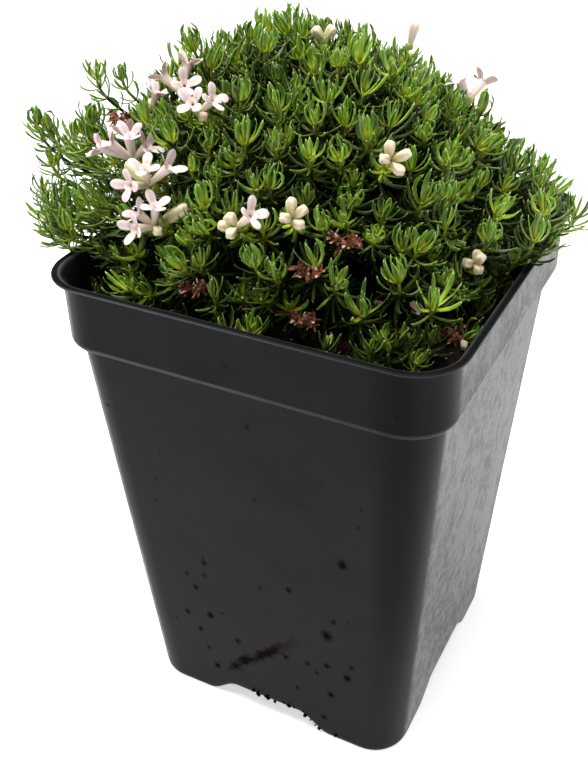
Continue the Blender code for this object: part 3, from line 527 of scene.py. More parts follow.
def pot_dirt(graph, sideways, height, front):
    """Specks and one ragged smear on the front wall, and a few specks all round."""
    low = 1.0 - height.over(0.020, 0.070)
    ragged = (graph.noise(2100.0, 3.0, 0.7) - 0.5) * 3.2
    specks = (graph.noise(420.0) + low * 0.03).over(0.735, 0.80)
    for x, z, radius in SPECKS:
        off = distance((sideways - x / 1000) * 1.25, height - z / 1000)
        off = off + ragged * (radius / 1000)
        # The smaller ones are fainter and softer
        edge = off.over(radius * 0.0005, radius * 0.0022 + 0.0003)
        specks = specks.most((1.0 - edge) * front * min(1.0, radius * 1.8))
    off_line = abs(height - 0.0152 - sideways * 1.05) + (graph.noise(420.0) - 0.5) * 0.006
    smear = (1.0 - off_line.over(0.0002, 0.0030)) * front
    smear = smear * sideways.over(-0.0055, -0.001) * (1.0 - sideways.over(0.008, 0.0195))
    return specks.most(smear * 0.95)


def plastic_look(graph):
    """Black plastic, dull where it faces the view, with a painted grey sheen, mottled by scuffs,
    where it is edge-on.
    """
    place = graph.place()
    sideways, depth, height = (graph.node("ShaderNodeSeparateXYZ", {0: place}, axis)
                               for axis in "XYZ")
    rub, crumbs = graph.attributes("rub dirt")
    grain = graph.noise(2600.0, 2.0)
    cloud = graph.noise(60.0, 4.0, 0.6)
    wander = graph.noise(1.0, 2.0, stretch=(130.0, 130.0, 60.0))
    # Scuffs roughen and bump the surface, and mottle its painted sheen
    scuffs_and_sheen = graph.noise(1.0, 5.0, 0.74, stretch=(560.0, 420.0, 360.0)) * 0.72 + wander * 0.28
    front = 1.0 - depth.over(-0.034, -0.030)
    dirt = pot_dirt(graph, sideways, height, front).most(crumbs)

    stain = graph.noise(22.0, 2.0).over(0.52, 0.66)
    # Painted shade: a darker band down the front wall just before its right corner, over all but
    # the lowest part
    shaded = sideways.over(0.033, 0.040) * (1.0 - sideways.over(0.0425, 0.0460)) * front
    # Painted shade: the top of the lip is coloured darker than the rest of the plastic, so it stays
    # dark though the overhead lamp lights it
    painted_rim_shade = height.over(POT_HEIGHT - 0.0007, POT_HEIGHT - 0.0002)
    # Painted highlight lines along the lip's edges and at the shoulder step, broken up unevenly and
    # fainter towards the right
    glint_lines = rub * (1.0 - sideways.over(-0.020, 0.045) * 0.6) * (0.4 + wander * 1.2).least(1.0)
    colour = graph.coats(
        graph.mix(cloud.over(0.3, 0.7), (0.0062, 0.0060, 0.0076), (0.0100, 0.0096, 0.0106)),
        (stain * 0.8, (0.0098, 0.0064, 0.0062)),
        (shaded * height.over(0.020, 0.060) * 0.75, (0.0016, 0.0014, 0.0018)),
        (painted_rim_shade * 0.8, (0.0022, 0.0022, 0.0024)),
        (glint_lines, (0.080, 0.080, 0.083)))
    finish = 0.30 + cloud * 0.08
    dull = graph.surface(colour, finish + 0.10, 0.05, graph.bump(grain, 0.00003, 0.5))
    # Painted reflection: edge-on, the surface takes a light grey base colour, lighter still towards
    # the bottom, standing in for the bright floor and lamps it reflects
    painted_reflection = graph.mix(graph.noise(240.0, 2.0).over(0.35, 0.65), (0.052, 0.058, 0.056),
                     (0.072, 0.060, 0.062))
    painted_reflection = graph.mix(1.0 - height.over(0.0, 0.075), painted_reflection, (0.130, 0.126, 0.128))
    painted_sheen = graph.mix(scuffs_and_sheen.over(0.30, 0.70) * 0.8, colour, painted_reflection)
    glossy = graph.surface(painted_sheen, finish + scuffs_and_sheen * 0.20, 0.46,
                           graph.bump(grain * 0.25 + scuffs_and_sheen, 0.00038, 0.9))
    facing = graph.node("ShaderNodeLayerWeight", {"Blend": 0.5}, "Facing")
    # Painted sheen: how much of that grey shows, from how edge-on the wall is, shifted with height
    # and mottled by the scuffs
    edge_on = facing - (0.118 - height) * 0.25
    sheen = edge_on.over(0.69, 0.85) * (0.34 + scuffs_and_sheen.over(0.39, 0.61) * 0.88)
    sheen = sheen * (1.26 - height.over(0.0, 0.085) * 0.26) + facing.over(0.48, 0.66) * 0.06
    soil = graph.mix(grain, (0.0008, 0.0006, 0.0006), (0.0060, 0.0022, 0.0012))
    return graph.blend(dirt, graph.blend(sheen, dull, glossy), graph.surface(soil, 0.9, 0.01))


def compost_look(graph):
    crumbs = graph.noise(700.0, 5.0, 0.65)
    patches = graph.noise(120.0)
    colour = graph.mix(patches.over(0.4, 0.62), (0.0045, 0.0028, 0.0022), (0.020, 0.0065, 0.0045))
    (grit,) = graph.attributes("grit")
    colour = graph.coats(colour, (crumbs.over(0.60, 0.72) * 0.6, (0.060, 0.024, 0.016)),
                         (grit.over(0.4, 0.6), (0.60, 0.48, 0.37)))
    return graph.surface(colour, 0.93, 0.2, graph.bump(crumbs, 0.0006, 0.9))


def bark_look(graph):
    ridges = graph.noise(1.0, 4.0, 0.6, stretch=(900.0, 900.0, 250.0))
    colour = graph.mix(ridges.over(0.35, 0.65), (0.035, 0.020, 0.011), (0.14, 0.092, 0.052))
    return graph.surface(colour, 0.9, 0.2, graph.bump(ridges, 0.0004, 0.9))


def floor_look(graph):
    dust = graph.noise(14.0)
    colour = graph.mix(dust * 0.3, (0.93, 0.93, 0.93), (0.90, 0.90, 0.90))
    return graph.surface(colour, 0.9, 0.1, Emission_Color=(1.0, 1.0, 1.0, 1.0),
                         Emission_Strength=0.52)


# Meshes and pieces

class Model:
    """A mesh in the making, whose points carry named values."""

    def __init__(self, *names):
        self.bm = bmesh.new()
        self.layers = [self.bm.verts.layers.float.new(name) for name in names]

    def point(self, place, *values):
        vert = self.bm.verts.new(place)
        for layer, value in zip(self.layers, values):
            vert[layer] = value
        return vert

    def skin(self, loops):
        """Close a row of loops, whose ends are faces or single points."""
        for first, second in zip(loops, loops[1:]):
            join_loops(self.bm, first, second)
        for end in (loops[0][::-1], loops[-1]):
            if len(end) > 1:
                self.bm.faces.new(end)


def join_loops(bm, first, second):
    """Faces between two loops, one of which may be a single point."""
    for i in range(max(len(first), len(second))):
        corners = (first[i % len(first)], first[(i + 1) % len(first)],
                   second[(i + 1) % len(second)], second[i % len(second)])
        bm.faces.new(dict.fromkeys(corners))


def new_mesh(bm, name, smooth_below=None):
    mesh = bpy.data.meshes.new(name)
    bmesh.ops.recalc_face_normals(bm, faces=bm.faces[:])
    for face in bm.faces:
        face.smooth = True
    bm.to_mesh(mesh)
    bm.free()
    if smooth_below is not None:
        mesh.set_sharp_from_angle(angle=math.radians(smooth_below))
    return mesh


def dress(item, look):
    item.data.materials.clear()
    item.data.materials.append(look)


def show(name, mesh, look=None):
    item = bpy.data.objects.new(name, mesh)
    if look is not None:
        dress(item, look)
    bpy.context.scene.collection.objects.link(item)
    return item


def evaluated(item, name):
    graph = bpy.context.evaluated_depsgraph_get()
    mesh = bpy.data.meshes.new_from_object(item.evaluated_get(graph),
                                           preserve_all_data_layers=True, depsgraph=graph)
    mesh.name = name
    return mesh


def shelf_of(name, meshes):
    """Collection of small meshes for a node tree to repeat."""
    shelf = bpy.data.collections.new(name)
    bpy.context.scene.collection.children.link(shelf)
    for number, mesh in enumerate(meshes):
        shelf.objects.link(bpy.data.objects.new(f"{name}_{number:02d}", mesh))
    return shelf


def clear_shelf(shelf):
    for item in list(shelf.objects):
        bpy.data.objects.remove(item)
    bpy.data.collections.remove(shelf)


def node_group(name, kinds, build):
    """Node tree with the inputs in kinds, which build turns into geometry.

    The inputs' identifiers come with it.
    """
    tree = bpy.data.node_groups.new(name, "GeometryNodeTree")

    def socket(label, kind, side="INPUT"):
        made = tree.interface.new_socket(label, in_out=side, socket_type="NodeSocket" + kind)
        return made.identifier

    socket("Geometry", "Geometry")
    sockets = [socket(label, kind) for label, kind in kinds]
    socket("Geometry", "Geometry", "OUTPUT")
    graph = Graph(tree)
    entry = tree.nodes.new("NodeGroupInput")
    made = build(graph, *[Link(graph, given) for given in entry.outputs if given.name])
    tree.links.new(made.socket, tree.nodes.new("NodeGroupOutput").inputs[0])
    return tree, sockets


def apply_nodes(item, name, tree, sockets, values):
    """Let a node tree with these values for its inputs make the piece's mesh."""
    growth = item.modifiers.new(tree.name, "NODES")
    growth.node_group = tree
    for socket, value in zip(sockets, values):
        growth[socket] = value
    item.data = evaluated(item, name)
    item.modifiers.clear()


def stand_for(item, node):
    """Let a piece take the place of one solid, which is hidden, on the root body."""
    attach(item, "root")
    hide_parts(node)


def heading(azimuth, elevation):
    a, e = math.radians(azimuth), math.radians(elevation)
    return Vector((math.cos(e) * math.cos(a), math.cos(e) * math.sin(a), math.sin(e)))


def across(axis):
    side = axis.orthogonal().normalized()
    return side, axis.cross(side).normalized()


def turned_by(axis, angle):
    side, other = across(axis)
    return side * math.cos(angle) + other * math.sin(angle)


# Layout of the cushion, as in the solids

def wall_reach(direction, spare):
    """Reach to the pot's wall with a gap to spare, where a way out passes below the rim."""
    half = COLLAR_HALF - WALL - spare
    reach = math.inf
    for offset, part in zip(CROWN_OFFSET, direction.xy):
        if part:
            reach = min(reach, (math.copysign(half, part) - offset) / part)
    exit_height = CROWN.z + reach * direction.z
    return reach if exit_height < POT_HEIGHT + 2 * WALL_CLEARANCE else math.inf


def reach_at(direction):
    reach = REACH
    for lobe in LOBES:
        angle = math.degrees(direction.angle(heading(lobe.azimuth, lobe.elevation)))
        reach += lobe.change * math.exp(-0.5 * (angle / lobe.spread) ** 2)
    return min(reach, wall_reach(direction, WALL_MARGIN))


def lattice(count):
    """Even directions over the upper half of a ball."""
    turn = math.pi * (3 - math.sqrt(5))
    points = []
    for i in range(count):
        z = (i + 0.5) / count
        flat = math.sqrt(1 - z * z)
        points.append((flat * math.cos(i * turn), flat * math.sin(i * turn), z))
    return np.array(points)


def settle(seeds, points, weights, kept=0):
    """Move the seeds that aren't kept to the middles of the points nearest them."""
    seeds = seeds.copy()
    for _ in range(SETTLE_ROUNDS):
        owner = np.argmax(points @ seeds.T, axis=1)
        for k in range(kept, len(seeds)):
            total = (points * weights[:, None])[owner == k].sum(axis=0)
            if total.any():
                seeds[k] = total / np.linalg.norm(total)
    return seeds


def spread_shoots(fixed_seeds, points, weights, count):
    """Add seeds to the fixed ones, far from each other, up to the count."""
    seeds = list(fixed_seeds)
    while len(seeds) < count:
        if seeds:
            nearest = np.max(points @ np.array(seeds).T, axis=1)
            seeds.append(points[np.argmin(nearest)])
        else:
            seeds.append(points[0])
    return settle(np.array(seeds), points, weights, kept=len(fixed_seeds))


Stem = namedtuple("Stem", "axis planes points weights")


def lay_out():
    points = lattice(LAYOUT_SAMPLES)
    weights = np.array([reach_at(Vector(point)) ** 2 for point in points])
    seeds = settle(lattice(STEM_COUNT), points, weights)
    axes = [Vector(seed) for seed in seeds]
    owner = np.argmax(points @ seeds.T, axis=1)
    stems = []
    for index, axis in enumerate(axes):
        planes = [(axis - other).normalized() for k, other in enumerate(axes) if k != index]
        mine = owner == index
        stems.append(Stem(axis, planes + [UP], points[mine], weights[mine]))
    return stems


def outline(stem, inset):
    """Corners of a stem's cone, on the plane at unit distance."""
    side, other = across(stem.axis)
    square = ((1, 1), (-1, 1), (-1, -1), (1, -1))
    corners = [side * x + other * y + stem.axis for x, y in square]
    for normal in stem.planes:
        kept = []
        for i, corner in enumerate(corners):
            last = corners[i - 1]
            height, last_height = normal.dot(corner) - inset, normal.dot(last) - inset
            if (height < 0) != (last_height < 0):
                kept.append(last.lerp(corner, last_height / (last_height - height)))
            if height >= 0:
                kept.append(corner)
        corners = kept
    return [corner for i, corner in enumerate(corners)
            if (corner - corners[i - 1]).length > 2 * inset]


Seat = namedtuple("Seat", "knob stem blooms")


def seat_head(head, stems):
    direction = heading(head.azimuth, head.elevation)
    stem = max(range(len(stems)), key=lambda index: direction.dot(stems[index].axis))
    for _ in range(SEAT_ROUNDS):
        for normal in stems[stem].planes:
            short = STALK_INSET - normal.dot(direction)
            if short > 0:
                direction = (direction + normal * short).normalized()
    return Seat(CROWN + direction * head.reach, stem, head.blooms)


class Blooms:
    """Space taken by the flower heads, kept free of leaves."""

    def __init__(self):
        self.rods = []
        self.discs = []

    def add(self, knob, blooms):
        for bloom in blooms:
            axis = heading(bloom.heading, bloom.rise)
            mouth = knob + axis * bloom.length
            self.rods.append((knob, mouth))
            if bloom.kind in ("open", "funnel"):
                self.discs.append((mouth, axis))

    def clear_view(self, point):
        """Keep leaves off a small form that shows from the front."""
        for ahead in CLEAR_AHEAD:
            self.discs.append((point + FRONT_VIEW * ahead, FRONT_VIEW))

    def near(self, point):
        local = Blooms()
        local.rods, local.discs = (
            [form for form in forms if (form[0] - point).length < FLOWER_NEIGHBOURS]
            for forms in (self.rods, self.discs))
        return local

    def touch(self, point):
        for start, end in self.rods:
            along = end - start
            share = min(max((point - start).dot(along) / along.length_squared, 0), 1)
            if (start + along * share - point).length < TUBE_KEEP_OUT:
                return True
        for mouth, axis in self.discs:
            height = (point - mouth).dot(axis)
            if -FLOWER_KEEP_BELOW < height < FLOWER_KEEP_ABOVE:
                if (point - mouth - axis * height).length < FLOWER_KEEP_OUT:
                    return True
        return False


def clear_of_pot(point):
    if point.z > POT_HEIGHT + RIM_CLEARANCE:
        return True
    half = COLLAR_HALF - WALL - WALL_CLEARANCE
    radius = LIP_RADIUS - WALL
    x, y = abs(point.x - POT_AXIS.x), abs(point.y - POT_AXIS.y)
    if max(x, y) > half or point.z < SOIL_TOP + SOIL_CLEARANCE:
        return False
    return min(x, y) < half - radius or math.hypot(x - half + radius, y - half + radius) < radius


# Leaves: one blade for each way that a leaf leans, repeated over the shoots

def midline(leans):
    """Points out from and up along the shoot's axis for a blade of length 1."""
    points = [(0.0, 0.0, math.radians(leans[0]))]
    x = z = 0.0
    for i in range(MIDLINE_STEPS):
        lean = math.radians(np.interp((i + 0.5) / MIDLINE_STEPS, (0, 0.5, 1), leans))
        x += math.sin(lean) / MIDLINE_STEPS
        z += math.cos(lean) / MIDLINE_STEPS
        points.append((x, z, lean))
    return points


MIDLINES = [midline(leans) for leans in BLADE_LEANS]


def on_midline(kind, t):
    return MIDLINES[kind][min(int(t * MIDLINE_STEPS + 0.5), MIDLINE_STEPS)]


def blade_mesh(kind, bend, twist):
    """A narrow leaf with a groove above and a keel below, one long and one wide."""
    model = Model("along", "edge")
    loops = []
    for t, share in BLADE_OUTLINE:
        x, z, lean = on_midline(kind, t)
        centre = Vector((x, bend * t * t, z))
        above = Vector((-math.cos(lean), 0, math.sin(lean)))
        turn = math.radians(twist * t)
        wide = Vector((0, math.cos(turn), 0)) + above * math.sin(turn) * BLADE_TILT
        wide *= share / 2
        lift = above * BLADE_EDGE
        section = ((centre - above * BLADE_KEEL * share, 0.15), (centre + wide + lift, 1.0),
                   (centre - above * BLADE_GROOVE * share, 0.0), (centre - wide + lift, 1.0))
        loops.append([model.point(place, t, edge) for place, edge in section])
    x, z, _ = on_midline(kind, 1.0)
    loops.append([model.point((x, bend, z), 1.0, 0.8)])
    model.skin(loops)
    return new_mesh(model.bm, "blade")


CORE_PART, TWIG_PART, LEAF_PART = range(3)


class Growth:
    """Points, twigs and core of one leafy stem, as the node tree takes them."""

    VALUES = {"part": "INT", "blade": "INT", "radius": "FLOAT", "age": "FLOAT", "tone": "FLOAT",
              "axis": "FLOAT_VECTOR", "out": "FLOAT_VECTOR", "size": "FLOAT_VECTOR"}
    USUAL = {"INT": 0, "FLOAT": 0.0, "FLOAT_VECTOR": UP}

    def __init__(self, rng):
        self.rng = rng
        self.places, self.edges, self.faces = [], [], []
        self.values = {name: [] for name in self.VALUES}

    def point(self, place, **values):
        self.places.append(tuple(place))
        for name, kind in self.VALUES.items():
            self.values[name].append(values.get(name, self.USUAL[kind]))
        return len(self.places) - 1

    def mesh(self, name):
        mesh = bpy.data.meshes.new(name)
        mesh.from_pydata(self.places, self.edges, self.faces)
        for label, kind in self.VALUES.items():
            layer = mesh.attributes.new(label, kind, "POINT")
            values = self.values[label]
            if kind == "FLOAT_VECTOR":
                layer.data.foreach_set("vector", [part for value in values for part in value])
            else:
                layer.data.foreach_set("value", values)
        return mesh

    def twig(self, start, top, axis, ages, rise=0.5):
        """A curved twig, and a function of the depth below its top.

        The rise is the share of its length over which it stands up along its axis.
        """
        old, young = ages
        length = (top - start).length
        middle = top - axis * length * rise
        steps = max(3, int(length / TWIG_STEP))
        for i in range(steps + 1):
            index = self.point(bezier(start, middle, top, i / steps), part=TWIG_PART,
                               radius=TWIG_RADIUS * (1 + TWIG_TAPER - TWIG_TAPER * i / steps),
                               age=old + (young - old) * i / steps, tone=TWIG_TONE)
            if i:
                self.edges.append((index - 1, index))

        def below(depth):
            t = max(0.0, 1.0 - depth / length)
            ahead = bezier(start, middle, top, min(t + SLOPE_STEP, 1.0))
            behind = bezier(start, middle, top, max(t - SLOPE_STEP, 0.0))
            return bezier(start, middle, top, t), (ahead - behind).normalized()

        return below, length

    def whorl(self, node, kinds, count, length, width, age, blooms):
        """Ring of leaves round a node, each of one of the kinds that are given."""
        rng = self.rng
        centre, axis = node
        turn = rng.uniform(0, 2 * math.pi)
        tone = rng.uniform(0, 1)
        for k in range(count):
            angle = turn + 2 * math.pi * (k + rng.uniform(*LEAF_STEPS)) / count
            nod = turned_by(axis, rng.uniform(*ANY_TURN)) * rng.uniform(0, LEAF_NOD)
            tilt = (axis + nod).normalized()
            out = turned_by(axis, angle)
            out = (out - tilt * out.dot(tilt)).normalized()
            foot = centre + out * NODE_RADIUS * LEAF_FOOT
            mine = rng.choice(kinds)
            sort = rng.randrange(len(BLADE_BENDS))
            long = length * rng.uniform(*LEAF_LENGTHS)
            # Where a leaf would touch the pot or a flower, it is shorter, upright or missing
            for shape, trim in ((mine, 1.0), (mine, 0.8), (HEART, 0.9), (HEART, 0.6)):
                size = long * trim
                if leaf_is_clear(foot, tilt, out, shape, size, blooms):
                    wide = width * rng.uniform(*LEAF_WIDTHS)
                    self.point(foot, part=LEAF_PART, axis=tilt, out=out,
                               blade=shape * len(BLADE_BENDS) + sort, size=(size, wide, size),
                               age=age + rng.uniform(*LEAF_AGES),
                               tone=WHORL_TONE * tone + (1 - WHORL_TONE) * rng.uniform(0, 1))
                    break

    def core(self, stem, cap):
        """Old wood and leaves inside a stem's cone, up to the cap."""
        corners = outline(stem, CORE_INSET)
        if (corners[1] - corners[0]).cross(corners[2] - corners[1]).dot(stem.axis) < 0:
            corners = corners[::-1]

        def add(place):
            return self.point(place, part=CORE_PART, age=CORE_AGE, tone=CORE_TONE)

        near = [add(CROWN + corner * CORE_START) for corner in corners]
        far = [add(CROWN + corner * cap) for corner in corners]
        middle = add(CROWN + stem.axis * (cap + CORE_SINK))
        self.faces.append(tuple(near[::-1]))
        for i in range(len(near)):
            j = (i + 1) % len(near)
            self.faces.append((near[i], near[j], far[j], far[i]))
            self.faces.append((far[i], far[j], middle))


def bezier(start, middle, end, t):
    return start * (1 - t) ** 2 + middle * 2 * t * (1 - t) + end * t * t


GROWTH_INPUTS = (("Blades", "Collection"), ("Leaf material", "Material"), ("Twig sides", "Int"))


def growth_nodes(graph, points, blades, look, sides):
    """Twigs from a stem's edges, and leaves on its points."""
    def only(part):
        same = graph.node("FunctionNodeCompare", {2: graph.stored("part", "INT"), 3: part},
                          data_type="INT", operation="EQUAL")
        return graph.node("GeometryNodeSeparateGeometry", {0: points, 1: same}, domain="POINT")

    def aligned(name, inputs, **settings):
        return graph.node("FunctionNodeAlignRotationToVector",
                          {1: 1.0, 2: graph.stored(name, "FLOAT_VECTOR"), **inputs}, **settings)

    curve = graph.node("GeometryNodeMeshToCurve", {0: only(TWIG_PART)})
    circle = graph.node("GeometryNodeCurvePrimitiveCircle", {0: sides, 4: 1.0})
    twigs = graph.node("GeometryNodeCurveToMesh",
                       {0: curve, 1: circle, 2: graph.stored("radius"), 3: True})
    rotation = aligned("out", {0: aligned("axis", {}, axis="Z")}, axis="X", pivot_axis="Z")
    leaves = graph.repeat(only(LEAF_PART), blades,
                          {4: graph.stored("blade", "INT"), 5: rotation,
                           6: graph.stored("size", "FLOAT_VECTOR")})
    joined = graph.join(only(CORE_PART), twigs, leaves)
    smooth = graph.node("GeometryNodeSetShadeSmooth", {0: joined, 2: True})
    return graph.node("GeometryNodeSetMaterial", {0: smooth, 2: look})


def leaf_is_clear(foot, axis, out, kind, length, blooms):
    for t in (0.4, 0.7, 1.0):
        x, z, _ = on_midline(kind, t)
        point = foot + (out * x + axis * z) * length
        if not clear_of_pot(point) or blooms.touch(point):
            return False
    return True


# Forms of a shoot's top: a closed lantern or an open tuft
TOPS = ((CUP, CLAW), (CUP, CUP, CLAW), (CUP, CUP, FLARE), (CUP, FLARE, OPEN))
# Depth below the top node, kinds, number of leaves, length, share of the full width, age
WHORLS = (
    (0.0022, (OPEN, SPREAD), 7, 0.0060, 0.60, 0.52),
    (0.0042, (SPREAD, OPEN), 8, 0.0062, 0.48, 0.80),
    (0.0064, (SPREAD, FALLEN), 8, 0.0060, 0.44, 0.95),
    (0.0088, (SPREAD, FALLEN), 7, 0.0060, 0.44, 1.00),
)
# The same down the longest shoots, evenly spaced and older one by one
STRAY_WHORLS = tuple((0.0038 * (k + 1), (OPEN, FLARE) if k < 3 else (SPREAD, OPEN), 6, 0.0058,
                      0.78, 0.20 + 0.08 * k) for k in range(6))
# How far past its twig's length a whorl may stand
WHORL_PAST = 0.001
# The same down a flower head's stalk, with the age below a live and a dead one
STALK_WHORLS = (
    (BRACTS_BELOW, (FLARE, OPEN), 9, 0.0038, 1.0, 0.04, 0.7),
    (BRACTS_BELOW + 0.0018, (OPEN,), 8, 0.0050, 0.9, 0.24, 0.7),
    (BRACTS_BELOW + 0.0044, (OPEN, SPREAD), 7, 0.0056, 0.8, 0.6, 0.6),
)
# Shoots that lean out this low over the rim open wide
LOW_SHOOTS = 0.34
LOW_TOP = (FLARE, OPEN, CUP)
# Share of these that stay small and dark, and how small and dark; the dark comes from added age and
# is partly painted shade low on the cushion's front
LOW_SMALL = 0.55
SMALL_VIGOUR = 0.72
SMALL_DULLED = 0.26
# Length of the leaves of a top's heart, of its cup, and of a cup that opens wide
HEART_LEAF = 0.0044
CUP_LEAF = 0.0058
LOW_LEAF = 0.0066
# Number of these leaves, where they stand beside the top node, and age of a cup
HEART_LEAVES = (3, 4)
CUP_LEAVES = (6, 8)
HEART_ABOVE = 0.0004
CUP_BELOW = 0.0003
CUP_AGES = (0.10, 0.24)
# A heart's share of the full width, its age, and its share of what ages the cup
HEART_WIDTH = 0.95
HEART_AGE = 0.02
HEART_DULLED = 0.3
# Least and most size of a shoot's leaves beside the others
VIGOUR = (0.78, 1.14)
# Age that is added to the top leaves, on half of the shoots
TOP_DULLED = (0.0, 0.0, 0.08, 0.26)
# Direction from the crown of the bare compost by the right wall, and its width in degrees
BARE_SPOT = (-32, 4, 12)
# Top nodes of small shoots in the front corner, darkened partly as painted shade
CORNER_SHOOTS = places((375, -300, 1150), (405, -330, 1140), (324, -362, 1160),
                       (405, -262, 1145), (352, -340, 1150))
# Top nodes of the longest shoots, which rise steeply at the plant's left edge
STRAYS = places(
    (-560, -167, 1398), (-541, -157, 1386), (-487, -142, 1369), (-472, -53, 1475),
    (-422, -29, 1473), (-394, -321, 1211), (-450, -280, 1230), (-456, -107, 1394),
    (-400, -308, 1306), (-370, -293, 1278), (-370, -333, 1255), (-340, -257, 1280),
    (-420, -329, 1277),
)


def grow_shoot(growth, direction, reach, start, blooms):
    lean = UP * SHOOT_LEAN + nudge(growth.rng, LEAN_SPREAD)
    axis = (direction + lean).normalized()
    for drop in range(TIP_DROPS):
        tip = CROWN + direction * (reach - TIP_DROP * drop)
        top = tip - axis * CUP_HEIGHT
        if clear_of_pot(top) and not blooms.touch(top) and not blooms.touch(tip):
            leaf_up(growth, start, top, axis, reach > STRAY_REACH_FROM, blooms,
                    LOW_SMALL if direction.z < LOW_SHOOTS else 0)
            return


def nudge(rng, spread):
    """A random offset that makes a shoot lean."""
    return Vector([rng.gauss(0, spread) for _ in range(3)])


def leaf_up(growth, start, top, axis, stray, blooms, low=0):
    """Twig with its whorls of leaves: a cup on top, and older ones down the twig.

    Low is the chance that a shoot by the rim stays small and dark, the dark partly painted shade.
    """
    rng = growth.rng
    below, length = growth.twig(start, top, axis, TWIG_AGES, STRAY_RISE if stray else 0.5)
    vigour = rng.uniform(*VIGOUR)
    form = rng.choice(TOPS)
    dulled = rng.choice(TOP_DULLED)
    cup = CUP_LEAF
    if low:
        form = LOW_TOP
        cup = LOW_LEAF
        # Small, with older leaves whose darker colour is partly painted shade low at the front
        if rng.random() < low:
            vigour *= SMALL_VIGOUR
            dulled += SMALL_DULLED
    growth.whorl((top + axis * HEART_ABOVE, axis), (HEART,), rng.randint(*HEART_LEAVES),
                 HEART_LEAF * vigour, LEAF_WIDTH * HEART_WIDTH,
                 HEART_AGE + dulled * HEART_DULLED, blooms)
    growth.whorl(below(CUP_BELOW), form, rng.randint(*CUP_LEAVES), cup * vigour, LEAF_WIDTH,
                 rng.uniform(*CUP_AGES) + dulled, blooms)
    for depth, kinds, count, size, slim, age in (STRAY_WHORLS if stray else WHORLS):
        if depth > length + WHORL_PAST:
            break
        growth.whorl(below(depth), kinds, count, size * vigour, LEAF_WIDTH * slim, age, blooms)


def grow_stem(index, stem, seats, blooms):
    rng = random.Random(STEM_SEEDS + index)
    growth = Growth(rng)
    mine = [seat for seat in seats if seat.stem == index]
    stalks = [tuple((seat.knob - CROWN).normalized()) for seat in mine]
    solid = spread_shoots(stalks, stem.points, stem.weights, SHOOTS_PER_STEM)
    count = max(len(solid), CUPS_PER_STEM)
    seeds = spread_shoots(solid, stem.points, stem.weights, count)
    cap = min(reach_at(Vector(seed)) for seed in solid) - CORE_BELOW_TIPS
    for corner in outline(stem, CORE_INSET):
        limit = wall_reach(corner.normalized(), WALL_CLEARANCE) / corner.length
        cap = min(cap, limit - WALL_CLEARANCE)
    growth.core(stem, cap)
    for k, seed in enumerate(seeds):
        direction = Vector(seed)
        start = CROWN + direction * (cap / direction.dot(stem.axis) - CORE_SINK)
        if k < len(mine):
            grow_stalk(growth, start, direction, mine[k], blooms)
            continue
        bare = direction.angle(heading(*BARE_SPOT[:2])) < math.radians(BARE_SPOT[2])
        if bare and k >= len(solid):
            continue
        reach = reach_at(direction)
        if reach > STRAY_REACH_FROM and k >= len(solid):
            reach *= rng.uniform(*FAR_REACHES)
        reach *= 1 + REACH_SPREAD * rng.uniform(-1, 1)
        grow_shoot(growth, direction, reach, start, blooms.near(CROWN + direction * reach))
    for top in STRAYS + CORNER_SHOOTS:
        direction = (top - CROWN).normalized()
        if all(normal.dot(direction) > 0 for normal in stem.planes):
            axis = (UP + nudge(rng, STRAY_SPREAD)).normalized()
            leaf_up(growth, CROWN + direction * cap, top, axis, top in STRAYS, blooms.near(top),
                    top in CORNER_SHOOTS)
    return growth


def grow_stalk(growth, start, direction, seat, blooms):
    """The stalk of a flower head, with the bracts and leaves below it."""
    axis = (direction + UP * STALK_LEAN).normalized()
    tip = seat.knob - axis * (KNOB_RADIUS + HEAD_GAP) * STALK_TO_KNOB
    below, _ = growth.twig(start, tip, axis, STALK_AGES)
    near = Blooms()
    for depth, kinds, count, size, slim, alive, dead in STALK_WHORLS:
        age = dead if seat.blooms[0].kind == "spent" else alive
        growth.whorl(below(depth), kinds, count, size, LEAF_WIDTH * slim, age, near)
        near = blooms.near(seat.knob)


def make_stems(stems, seats, blooms, look):
    shelf = shelf_of("blade", [blade_mesh(kind, bend, twist)
                               for kind in range(len(BLADE_LEANS)) for bend, twist in BLADE_BENDS])
    tree, sockets = node_group("leafy_stem_growth", GROWTH_INPUTS, growth_nodes)
    for index, stem in enumerate(stems):
        name = f"leafy_stem_{index + 1:02d}"
        item = show(name + "_leaves", grow_stem(index, stem, seats, blooms).mesh(name + "_growth"))
        apply_nodes(item, name, tree, sockets, (shelf, look, TWIG_SIDES))
        stand_for(item, name)
    clear_shelf(shelf)


# Flowers

def lathe(model, rings, sides, tone, lobes=0.0):
    """Closed surface from each ring's centre, axis, radius and zone."""
    loops = []
    for centre, axis, radius, zone in rings:
        loop = []
        for k in range(sides if radius else 1):
            angle = 2 * math.pi * k / sides
            lobe = math.cos(4 * angle)
            dip = max(0.0, -lobe) ** 2 * min(lobes * 6, 1.0) if radius else 0.0
            place = centre + turned_by(axis, angle) * radius * (1 + lobes * lobe)
            loop.append(model.point(place, zone, tone, 0.0, dip))
        loops.append(loop)
    model.skin(loops)


def along_axis(foot, axis, length, rows, width=1.0):
    """Rings for the lathe, from shares of the length, radii and zones."""
    return [(foot + axis * length * share, axis, radius * width, zone)
            for share, radius, zone in rows]


# Share of the petal's length, share of its width
PETAL_OUTLINE = ((0.0, 0.80), (0.15, 0.82), (0.35, 0.96), (0.56, 1.00), (0.74, 0.88),
                 (0.88, 0.62), (0.96, 0.34), (1.0, 0.10))
PETAL_WIDTH = 0.00200
# How far the petals rise over their length
PETAL_LIFT = {"open": 0.0010, "funnel": 0.0015}
# Turn of a funnel's petals away from the view, in radians
FUNNEL_TURN = (0.6, 1.0)
PETAL_START = 0.00080
PETAL_END = 0.00325
PETAL_CUP = 0.00018
PETAL_CURL = 0.0007
PETAL_SINK = 0.00045
# Round a petal's section, in half widths and depths of its cup
PETAL_SECTION = ((-1.0, -0.4), (-0.5, 0.75), (0.0, 0.0), (0.5, 0.75), (1.0, -0.4),
                 (0.5, -0.2), (0.0, -0.9), (-0.5, -0.2))
